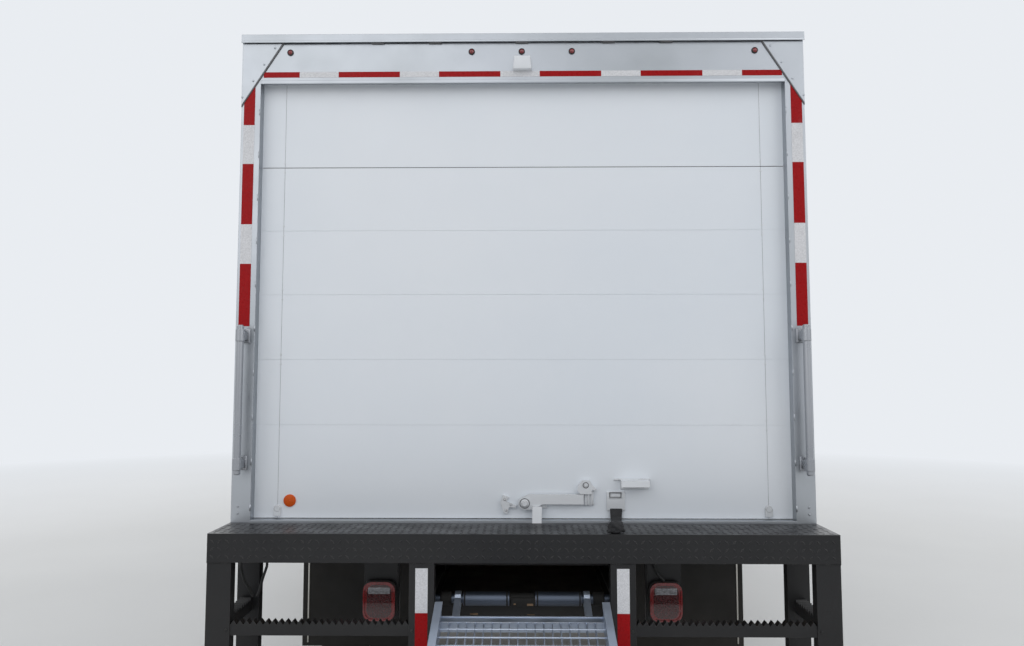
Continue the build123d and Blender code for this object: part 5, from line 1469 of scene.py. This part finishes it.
def swell(piece):
    # Cloth under pressure, held to a cap from where it starts
    look, scene = seatLook, bpy.context.scene
    remesh = piece.modifiers.new("remesh", "REMESH")
    remesh.mode, remesh.voxel_size = "VOXEL", look["voxel"]
    before = [vert.co.copy() for vert in bakeModifiers(piece).vertices]
    cloth = piece.modifiers.new("cloth", "CLOTH")
    cloth.settings.use_pressure = True
    cloth.settings.uniform_pressure_force = look["pressure"]
    cloth.settings.effector_weights.gravity = 0.0
    cloth.settings.quality = look["quality"]
    cloth.point_cache.frame_start, cloth.point_cache.frame_end = 1, look["frames"]
    for step in range(1, look["frames"] + 1):
        scene.frame_set(step)
    shaped = bakeModifiers(piece)
    for vert, start in zip(shaped.vertices, before):
        move = vert.co - start
        if move.length > look["cap"]:
            vert.co = start + move.normalized() * look["cap"]
    scene.frame_set(1)


def paddedForm(name, low, high, seams, axis, level, lean=0.0):
    # A soft block with pulled-in sides; cloth pressure swells it
    mesh = bmesh.new()
    low, high = Vector(low), Vector(high)
    size, middle = high - low, (high + low) / 2
    bmesh.ops.create_cube(mesh, size=1.0)
    bmesh.ops.subdivide_edges(mesh, edges=mesh.edges[:], cuts=11, use_grid_fill=True)
    thin = min(range(3), key=lambda way: size[way])
    wide, tall = (way for way in range(3) if way != thin)
    for vert in mesh.verts:
        shape = vert.co * 2
        u, v, w = shape[wide], shape[tall], shape[thin]
        corner = min(1.0, math.hypot(max(0, abs(u) - 0.84), max(0, abs(v) - 0.84)) / 0.226)
        pull = (1 - 0.045 * w ** 6) * (1 - 0.045 * corner)
        shape[wide], shape[tall] = u * pull, v * pull
        shape[thin] = w * (0.80 + 0.20 * (1 - u ** 4) * (1 - v ** 4))
        vert.co = Vector(middle[i] + shape[i] * size[i] / 2 for i in range(3))
    bmesh.ops.recalc_face_normals(mesh, faces=mesh.faces[:])
    piece = placeMesh(name, mesh)
    swell(piece)
    smooth = piece.modifiers.new("smooth", "SUBSURF")
    smooth.levels = smooth.render_levels = 1
    shaped = bakeModifiers(piece)
    sew(shaped, [low.x + size.x * share for share in seams], axis, level)
    for vert in shaped.vertices:
        vert.co.y -= lean * (vert.co.z - low.z)
    shaped.materials.clear()
    shaped.materials.append(finishes["seatCloth"])
    shaped.shade_smooth()
    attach(piece, "truck")
    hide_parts("seats")


def makeSeats():
    look = seatLook
    for name in ("driver", "bench"):
        (x0, x1), seams = look[name]["sides"], look[name]["seams"]
        back, near, low, high = look["cushion"]
        paddedForm(f"{name}_seat_cushion", (x0 + 0.014, front - back, low), (x1 - 0.014, front - near, high), seams,
                   2, look["cushionSeam"])
        back, near, low, high = look["back"]
        paddedForm(f"{name}_seat_back", (x0 + 0.020, front - back, low), (x1 - 0.020, front - near, high), seams,
                   1, front - look["backSeam"], look["lean"])
        box = bmesh.new()
        for inset, back, near, low, high, bevel in look["boxes"]:
            addBox(box, (x0 + inset, front - back, low), (x1 - inset, front - near, high), bevel)
        finishPiece(box, f"{name}_seat_box", "truck", "cabPlastic", replaced=("seats",))


# Shoulder belts hang down the door pillar to the seat's outer foot; buckles stand on stalks between the seats
beltLook = {"top": 2.10, "route": ((0.052, 2.560, 2.10), (0.050, 2.575, 1.80)),
            "lowRoute": ((0.955, 2.590, 1.45), (0.940, 2.600, 1.16), (0.900, 2.600, 1.02)), "half": 0.023,
            "thick": 0.0015, "reel": ((0.880, 2.560, 1.000), (0.930, 2.640, 1.045)),
            "stalks": ((-0.216, -0.234), (-0.082, -0.066))}


def makeBelts():
    look = beltLook
    belts, buckles = newMeshes(2)
    across, topX = forward * look["half"], skinX(look["top"])
    for side, (stalk, anchor) in zip((-1, 1), look["stalks"]):
        route = [(skinX(z) - inward, y, z) for inward, y, z in look["route"]] + list(look["lowRoute"])
        route = [Vector((side * x, y, z)) for x, y, z in route]
        for a, b in zip(route, route[1:]):
            addPrism(belts, (a - across, a + across, b + across, b - across), (-side * look["thick"], 0, 0))
        addBox(buckles, (side * (topX - 0.048), 2.530, 2.085), (side * (topX - 0.040), 2.590, 2.135), 0.004)
        addBox(buckles, *((side * x, y, z) for x, y, z in look["reel"]), 0.006)
        addBox(buckles, (stalk - 0.010, 2.640, 1.33), (stalk + 0.010, 2.700, 1.43), 0.004)
        addTube(buckles, ((stalk, 2.670, 1.34), (stalk, 2.675, 1.27), (anchor, 2.680, 1.18)), 0.007, 8)
    finishPiece(belts, "seat_belts", "truck", "webbing")
    finishPiece(buckles, "belt_buckles", "truck", "cabPlastic")


# Dash: gauge hood and dials, air outlets, radio, knobs, glove box, pedals, gear lever, stalk and visors
dashLook = {"face": 1.72, "panelLow": 1.505, "panelLean": 0.267,
            "gaugePanel": ((-0.70, 0.03, 1.505), (-0.26, 0.03, 1.505), (-0.28, 0.07, 1.655), (-0.68, 0.07, 1.655)),
            "gaugeHood": ((-0.715, 0.045, 1.644), (-0.245, 0.045, 1.644), (-0.265, 0.17, 1.668), (-0.695, 0.17, 1.668)),
            "gauges": ((-0.575, 1.585, 0.048), (-0.455, 1.585, 0.048), (-0.360, 1.605, 0.026), (-0.360, 1.548, 0.026)),
            "outlets": (-0.86, -0.02, 0.12, 0.86), "vanes": (1.525, 0.011, 5), "knobs": (0.02, 0.075, 0.13),
            "knob": ((0.0, 0.015), (0.010, 0.014), (0.012, 0.011), (0.012, 0.0005)), "knobHigh": 1.365,
            "pedals": ((-0.62, 0.07), (-0.50, 0.09), (-0.34, 0.055)),
            "pedalArm": ((3.520, 1.14), (3.600, 1.26), (3.630, 1.34)), "gear": (-0.15, 3.10),
            "gearRod": ((0.0, 0.998), (0.01, 1.12), (-0.05, 1.36)),
            "gearKnob": ((-0.03, 0.010), (-0.015, 0.022), (0.010, 0.026), (0.024, 0.020), (0.030, 0.0005)),
            "gearBoot": ((0.0, 0.072), (0.020, 0.060), (0.050, 0.030), (0.075, 0.014), (0.075, 0.001)),
            "stalk": ((-0.52, 3.300, 1.505), (-0.64, 3.270, 1.535), (-0.70, 3.262, 1.545)),
            "visor": ((0.20, 3.02, 2.268), (0.76, 3.17, 2.282))}


def addGauge(bright, dial, x, z, radius):
    look = dashLook
    face = front - look["face"] + 0.030 + (z - look["panelLow"]) * look["panelLean"]
    way, place = Vector((0, -1, look["panelLean"])).normalized(), Vector((x, face, z))
    inner, hub = radius - 0.003, place + way * 0.0025
    addTurned(bright, ((-0.004, inner), (0.004, inner), (0.005, radius), (-0.004, radius + 0.002)), place, way, 32)
    addKnob(dial, ((0.0005, inner), (0.0008, 0.004), (0.004, 0.004), (0.005, 0.0005)), place, way, 32)
    addTube(bright, (hub, hub + Vector((-radius * 0.55, 0, radius * 0.42))), 0.0011, 5)


def makeDash():
    look, face = dashLook, front - dashLook["face"]
    dark, bright, dial = newMeshes(3)
    for corners, move in ((look["gaugePanel"], (0, 0.10, 0)), (look["gaugeHood"], (0, 0, 0.012))):
        addPrism(dark, [(x, face + back, z) for x, back, z in corners], move)
    for gauge in look["gauges"]:
        addGauge(bright, dial, *gauge)
    for x in look["outlets"]:
        for z in spaced(*look["vanes"]):
            addBox(dark, (x - 0.045, face + 0.001, z), (x + 0.045, face + 0.015, z + 0.004), 0.0015)
    addBox(dark, (-0.02, face + 0.008, 1.400), (0.17, face + 0.020, 1.475), 0.004)
    for x in look["knobs"]:
        addKnob(bright, look["knob"], (x, face + 0.014, look["knobHigh"]), (0, -1, 0.05), 20)
    outline = roundedBox(0.36, 0.80, 1.300, 1.470, 0.02, 4)
    addHoop(dark, [(p.x, face + 0.010, p.y) for p in outline], 0.0025, 6)
    for x, wide in look["pedals"]:
        half = wide / 2
        addPrism(dark, ((x - half, 3.500, 1.075), (x + half, 3.500, 1.075), (x + half, 3.540, 1.165),
                        (x - half, 3.540, 1.165)), (0, 0.010, -0.004))
        addTube(dark, [(x, y, z) for y, z in look["pedalArm"]], 0.010, 8)
    x, y = look["gear"]
    addTube(dark, [(x, y + dy, z) for dy, z in look["gearRod"]], 0.011, 12)
    addKnob(dark, look["gearKnob"], (x, y - 0.05, 1.38), up, 28)
    addKnob(dark, look["gearBoot"], (x, y + 0.002, 0.999), up, 28)
    addTube(dark, look["stalk"], 0.0065, 10)
    for side in (-1, 1):    # sun visors folded against the headlining
        addBox(dark, *((side * x, y, z) for x, y, z in look["visor"]), 0.006)
    finishPiece(dark, "dash_fittings", "truck", "wheelPlastic")
    finishPiece(bright, "dash_bright_parts", "truck", "polished")
    finishPiece(dial, "dash_dials", "truck", "latchWhite")


wheelRim = {"radius": 0.229, "grip": 0.0145, "gripSides": 14, "boss": 0.062, "tilt": 32, "column": (0.0597, 0.018),
            "centre": (-0.480, 1.850, 1.600), "spokeStart": 0.045, "spokeHalf": 0.020, "spokeWaist": 0.006,
            "spokeThick": 0.007, "spokeDrop": 0.010,
            "spokeShape": ((-1, -0.5), (-0.6, 1), (0.6, 1), (1, -0.5), (0.6, -1), (-0.6, -1))}


def makeSteeringWheel():
    look, mesh = wheelRim, bmesh.new()
    tilt, (x, station, z), boss, grip = math.radians(90 - look["tilt"]), look["centre"], look["boss"], look["grip"]
    axis = Vector((0, -math.cos(tilt), math.sin(tilt)))
    centre, radius = Vector((x, front - station, z)), look["radius"] - grip
    addTurned(mesh, [(v, radius + u) for u, v in ringPoints(grip, look["gripSides"])], centre, axis)
    addKnob(mesh, ((-0.020, 0.020), (-0.020, 0.050), (0.0, boss), (0.016, boss - 0.004), (0.024, boss - 0.020),
                   (0.027, 0.0005)), centre, axis, 56)
    first = look["spokeStart"]
    for way in (right, -right, -axis.cross(right)):
        across, rows = axis.cross(way), []
        for share in (0.0, 0.25, 0.5, 0.75, 1.0):
            at = centre + way * (first + (radius - first) * share) - axis * look["spokeDrop"] * (1 - share)
            half = look["spokeHalf"] - look["spokeWaist"] * math.sin(math.pi * share)
            rows.append([at + across * a * half + axis * b * look["spokeThick"] for a, b in look["spokeShape"]])
        bridge(mesh, rows)
    reach, column = look["column"]
    addBar(mesh, centre - axis * reach, centre, column, 24)
    finishPiece(mesh, "steering_wheel_grip", "steering_wheel", "wheelPlastic", 40.0,
                ("steering_wheel",))


makeSeats()
makeBelts()
makeDash()
makeSteeringWheel()
print("cab inside done")

# Cargo box: rub and top rails, corner posts, rivets down the posts, side lamps and roof seams
boxLook = {"half": 1.295, "rubLow": 1.000, "rubHigh": 1.075, "rubThick": 0.010, "topLow": 3.205, "topThick": 0.006,
           "postPitch": 0.406, "postHalf": 0.011, "rivetPitch": 0.105, "stagger": 0.052, "rivet": 0.0042,
           "railPitch": 0.10, "railRivet": 0.005, "lampY": (-2.420, 1.960), "lampZ": (1.037, 3.238),
           "bend": 0.060, "postOut": 0.064, "postIn": 0.0595, "cornerRivets": (0.115, 20, 0.0045),
           "wallPosts": (-1.05, 0.35, 7), "wallRivets": (1.12, 0.11, 19), "noseLamps": (-1.12, 1.12),
           "roofSeams": (0.30, 0.59, 8), "roofHalf": 1.24, "roofRivets": (-1.19, 0.1035, 24),
           "seam": ((0.0, -0.0005), (0.030, -0.0005), (0.024, 0.003), (0.006, 0.003))}


def addSideRails(rails, rivets, side, rear, nose, top):
    look = boxLook
    skin, back, (rub, thin) = side * look["half"], side * (look["half"] - 0.001), (look["rubThick"], look["topThick"])
    for low, high, thick in ((look["rubLow"], look["rubHigh"], rub), (look["topLow"], top, thin)):
        shape = [(back, low), (skin + side * thick * 0.6, low), (skin + side * thick, low + 0.010),
                 (skin + side * thick, high - 0.014), (skin + side * thick * 0.5, high), (back, high)]
        addPlate(rails, shape, rear + 0.002, nose - 0.060 - rear)
    for post in range(int((nose - rear - 0.25) / look["postPitch"]) + 1):
        y = rear + 0.10 + post * look["postPitch"]
        for shift, lift in ((-look["postHalf"], 0.0), (look["postHalf"], look["stagger"])):
            z = look["rubHigh"] + 0.03
            while z < look["topLow"] - 0.02:
                addRivet(rivets, (skin, y + shift, z + lift), (side, 0, 0), look["rivet"])
                z += look["rivetPitch"]
    for k in range(int((nose - rear - 0.1) / look["railPitch"])):
        y = rear + 0.06 + look["railPitch"] * k
        for thick, z in ((rub, look["rubLow"] + 0.040), (thin, look["topLow"] + 0.030)):
            addRivet(rivets, (skin + side * thick, y, z), (side, 0, 0), look["railRivet"])


def addCornerPost(rails, rivets, side, nose, top):
    # Front corner post over the box's rounded edge
    look = boxLook
    x, y, low = side * (look["half"] - look["bend"]), nose - look["bend"], look["rubLow"]
    out, inner = ([(x + side * reach * math.sin(a), y + reach * math.cos(a))
                   for a in (math.radians(90 * step / 8) for step in range(9))]
                  for reach in (look["postOut"], look["postIn"]))
    post = [(x - side * 0.030, nose + 0.004), *out, (x + side * look["postOut"], y - 0.035),
            (x + side * look["postIn"], y - 0.035), *inner[::-1], (x - side * 0.030, nose - 0.0005)]
    addPrism(rails, [(px, py, low) for px, py in post], (0, 0, top - low))
    pitch, count, size = look["cornerRivets"]
    for z in spaced(low + 0.05, pitch, count):
        addRivet(rivets, (x - side * 0.018, nose + 0.004, z), forward, size)
        addRivet(rivets, (x + side * look["postOut"], y - 0.022, z), (side, 0, 0), size)


def makeBoxDetail():
    look = boxLook
    rails, rivets, rearLamps, frontLamps, seams = newMeshes(5)
    rear, (nose, top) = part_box("cargo_side_left")[0].y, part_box("cargo_front_wall")[1].yz
    half = look["half"]
    for side in (-1, 1):
        addSideRails(rails, rivets, side, rear, nose, top)
        for y, mesh in zip(look["lampY"], (rearLamps, frontLamps)):
            for z, thick in zip(look["lampZ"], (look["rubThick"], look["topThick"])):
                face = side * (half + thick)
                pad = roundedBox(y - 0.050, y + 0.050, z - 0.018, z + 0.018, 0.014, 4)
                addSidePlate(rails, pad, face, side * 0.003)
                addBlock(mesh, (face + side * 0.008, y, z), (0.005, 0.040, 0.012), 0.004)
        addCornerPost(rails, rivets, side, nose, top)
    for level in (look["rubLow"], top - 0.075):    # rails across the front wall
        addBox(rails, (-half + 0.090, nose - 0.001, level), (half - 0.090, nose + 0.005, level + 0.070), 0.0015)
    for x in spaced(*look["wallPosts"]):
        for z in spaced(*look["wallRivets"]):
            addRivet(rivets, (x, nose, z), forward, look["rivet"])
    for x in look["noseLamps"]:
        addBox(frontLamps, (x - 0.040, nose + 0.004, 3.215), (x + 0.040, nose + 0.015, 3.240), 0.004)
    finishPiece(rails, "box_rails", "truck", "tankAluminium")
    finishPiece(rivets, "box_rivets", "truck", "boxSheet", 40.0)
    finishPiece(rearLamps, "side_lamps_rear", "truck", "redLens")
    finishPiece(frontLamps, "side_lamps_front", "truck", "amberLens")
    roof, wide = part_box("cargo_roof"), look["roofHalf"]
    first, *rest = look["roofSeams"]
    for y in spaced(roof[0].y + first, *rest):
        addSidePlate(seams, [(y + dy, roof[1].z + dz) for dy, dz in look["seam"]], -wide, 2 * wide)
        for x in spaced(*look["roofRivets"]):
            addRivet(seams, (x, y + 0.015, roof[1].z + 0.003), up, 0.004)
    finishPiece(seams, "roof_seams", "truck", "roofSheet", 30.0)


makeBoxDetail()
print("cargo box done")

# Axle ironwork: U-bolts on the springs, shock absorbers, and brake chambers on the rear axle
springLook = {"x": 0.396, "half": 0.031, "bolt": 0.009, "wheelEdge": 0.302,
              "axles": (("front_rim_left", 0.345, 0.515, 0.058), ("rear_rims_left", 0.385, 0.640, 0.075)),
              "shockX": 0.470, "shocks": (-0.16, 0.17), "shockHigh": (0.450, 0.860), "shockSplit": 0.52}
brakeLook = {"x": 0.545, "ahead": 0.250, "z": 0.500,
             "chamber": ((0.0, 0.012), (0.0, 0.052), (0.018, 0.078), (0.056, 0.080), (0.058, 0.087), (0.068, 0.087),
                         (0.070, 0.080), (0.100, 0.080), (0.102, 0.087), (0.112, 0.087), (0.114, 0.080),
                         (0.165, 0.078), (0.182, 0.055), (0.185, 0.0005)),
             "hose": ((0.545, 0.0, 0.080), (0.545, -0.03, 0.150), (0.47, -0.02, 0.230), (0.44, 0.02, 0.270))}


def addUBolts(iron, bolts, x, y, low, high, reach):
    bolt = springLook["bolt"]
    half = springLook["half"] + bolt + 0.001
    for station in (y - reach, y + reach):
        for side in (x - half, x + half):
            addBar(iron, (side, station, low), (side, station, high + 0.045), bolt, 12)
            addBar(bolts, (side, station, high + 0.018), (side, station, high + 0.034), 0.016, 6)
        bend = ((-half, 0.0), (-half * 0.6, 0.012), (half * 0.6, 0.012), (half, 0.0))
        addTube(iron, [(x + across, station, low - drop) for across, drop in bend], bolt, 10)
    addBox(iron, (x - 0.058, y - reach - 0.022, high + 0.004), (x + 0.058, y + reach + 0.022, high + 0.018), 0.003)


def addShock(iron, bolts, side, y):
    look, across = springLook, right * 0.026
    low, high = look["shockHigh"]
    foot, head = Vector((side * look["shockX"], y, low)), Vector((side * (look["shockX"] - 0.005), y - 0.06, high))
    middle = foot.lerp(head, look["shockSplit"])
    addBar(iron, foot, middle, 0.028, 24)
    addBar(bolts, middle, head, 0.034, 24)
    for end in (foot, head):
        addBar(iron, end - across, end + across, 0.022, 20)
    addBar(iron, head - right * side * 0.04, head, 0.014, 12)
    addBox(iron, (side * 0.430, y - 0.025, 0.425), (side * 0.500, y + 0.025, 0.455), 0.004)


def addBrake(iron, bright, hoses, side, axleY):
    look = brakeLook
    x, y, z = side * look["x"], axleY - look["ahead"], look["z"]
    addKnob(iron, look["chamber"], (x, y + 0.145, z), rearward, 40)
    addBar(bright, (x, y + 0.140, z), (x, y + 0.235, z - 0.01), 0.009, 12)
    addBox(iron, (x - 0.012, y + 0.215, z - 0.110), (x + 0.012, y + 0.250, z + 0.012), 0.004)
    addBar(iron, (x - side * 0.080, y + 0.233, z - 0.095), (x + side * 0.06, y + 0.233, z - 0.095), 0.017, 16)
    addBox(iron, (x - 0.060, y + 0.138, z - 0.055), (x + 0.060, y + 0.152, z + 0.055), 0.003)
    addBox(iron, (x - 0.020, y + 0.150, z - 0.050), (x + 0.020, axleY, z - 0.020), 0.003)
    addTube(hoses, [(side * px, y + dy, z + dz) for px, dy, dz in look["hose"]], 0.008, 8)


# Tanks and pipes: two air tanks between the rails, straps and cap of the fuel tank, exhaust clamps
tankLook = {"airX": 0.260, "airY": 1.250, "airZ": 0.610, "radius": 0.105, "airStraps": (1.420, 1.860),
            "strap": 0.045, "bracketHigh": 0.732, "bracketOut": 0.165,
            "airHose": ((1.0, 1.26, 0.650), (1.0, 1.19, 0.700), (1.1, 1.10, 0.730), (1.5, 0.90, 0.745)),
            "fuelShape": (-1.060, -0.540, 0.430, 0.900, 0.110, 8), "fuelStraps": (3.120, 3.680),
            "strapThick": 0.004, "fuelEnds": (1.2036, 2.1516), "endRim": 0.0055, "filler": (-1.000, 1.330, 0.842),
            "fillerCap": ((0.0, 0.046), (0.030, 0.046), (0.036, 0.056), (0.058, 0.056), (0.064, 0.048),
                          (0.066, 0.0005)),
            "pipe": (0.610, 0.600), "clamps": (1.62, 2.86, 3.80, 4.95), "clamp": (0.043, 0.006, 0.030),
            "bands": (2.905, 3.20, 3.46, 3.735), "band": (0.117, 0.0055, 0.010)}


def addBand(mesh, outline, near, far, thick):
    # A strap round an outline in X and Z, from near to far along Y
    middle, rows = sum(outline, Vector((0, 0))) / len(outline), []
    for point in outline:
        out = point + (point - middle).normalized() * thick
        rows.append([(point.x, near, point.y), (out.x, near, out.y), (out.x, far, out.y), (point.x, far, point.y)])
    bridge(mesh, rows, True)


def addSleeve(mesh, place, radius, thick, wide, steps):
    addTurned(mesh, ((0.0, radius), (0.0, radius + thick), (wide, radius + thick), (wide, radius)), place, forward,
              steps)


def addTanks(iron, bolts, bright, hoses):
    look = tankLook
    radius, strap, z, shelf = look["radius"], look["strap"], look["airZ"], look["bracketHigh"]
    ends = ((0.0, 0.0005), (0.004, 0.040), (0.020, 0.080), (0.042, radius))
    tank = ends + tuple((0.800 - along, wide) for along, wide in
                        ((0.042, radius), (0.020, 0.080), (0.004, 0.040), (0.0, 0.0005)))
    for side in (-1, 1):
        x = side * look["airX"]
        addKnob(iron, tank, (x, look["airY"], z), forward, 40)
        for y in look["airStraps"]:
            addSleeve(bright, (x, y, z), radius, 0.003, strap, 40)
            addBox(iron, (x - 0.020, y, z + radius), (x + 0.020, y + strap, shelf), 0.002)
            addBox(iron, (x - 0.03, y - 0.01, shelf - 0.010), (x + side * look["bracketOut"], y + strap + 0.01, shelf),
                   0.002)
        addTube(hoses, [(x * share, y, level) for share, y, level in look["airHose"]], 0.008, 8)
    shape = roundedBox(*look["fuelShape"])
    for y in (front - station for station in look["fuelStraps"]):
        addBand(bright, shape, y - strap / 2, y + strap / 2, look["strapThick"])
        addBolt(bolts, (-1.064, y, 0.66), -right, 0.011)
    addKnob(bright, look["fillerCap"], look["filler"], (-0.6, 0, 0.8), 32)
    for y in look["fuelEnds"]:    # rolled rims of the tank's ends
        addHoop(bright, [(p.x, y, p.y) for p in shape], look["endRim"], 8)
    x, z = look["pipe"]
    for y in (front - station for station in look["clamps"]):
        addSleeve(bright, (x, y, z), *look["clamp"], 32)
        addBolt(bolts, (x, y + 0.015, z + 0.048), up, 0.008)
    for station in look["bands"]:
        addSleeve(iron, (x, front - station, z), *look["band"], 40)


# Frame bolts on the outer faces of the rails; wiring behind the outer posts, as it hangs in the photograph
railLook = {"x": 0.432, "stations": (0.33, 1.45, 2.50, 3.50, 4.50, 5.25, 6.10, 6.90, 7.65), "pairs": (-0.045, -0.015),
            "levels": (0.745, 0.820, 0.895), "bolt": 0.010, "wire": 0.006,
            "wires": (((-1.205, -0.10, 0.970), (-1.215, -0.08, 0.910), (-1.205, -0.06, 0.850),
                       (-1.190, -0.04, 0.810), (-1.180, -0.02, 0.775)),
                      ((-1.120, -0.02, 0.965), (-1.128, 0.0, 0.900), (-1.150, 0.01, 0.840), (-1.165, 0.02, 0.790),
                       (-1.175, 0.02, 0.765)),
                      ((0.585, 0.03, 0.960), (0.583, 0.02, 0.900), (0.600, 0.01, 0.865), (0.625, 0.012, 0.838)))}


def makeUnderside():
    look = springLook
    iron, bolts, bright, hoses = newMeshes(4)
    axles = [(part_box(rim)[0].y + look["wheelEdge"], *rest) for rim, *rest in look["axles"]]
    for side in (-1, 1):
        for (y, *rest), shift in zip(axles, look["shocks"]):
            addUBolts(iron, bolts, side * look["x"], y, *rest)
            addShock(iron, bolts, side, y + shift)
        addBrake(iron, bright, hoses, side, axles[-1][0])
        for station in railLook["stations"]:
            for shift in railLook["pairs"]:
                for z in railLook["levels"]:
                    addBolt(bolts, (side * railLook["x"], front - station + shift, z), (side, 0, 0), railLook["bolt"])
    addTanks(iron, bolts, bright, hoses)
    for route in railLook["wires"]:
        addTube(hoses, [(x, frameFace + dy, z) for x, dy, z in route], railLook["wire"], 8)
    finishPiece(iron, "under_ironwork", "truck", "axleIron")
    finishPiece(bolts, "under_bolts", "truck", "chassisBlack")
    finishPiece(bright, "under_straps", "truck", "tankAluminium")
    finishPiece(hoses, "under_hoses", "truck", "sealRubber", 60.0)


makeUnderside()
print("underside done")
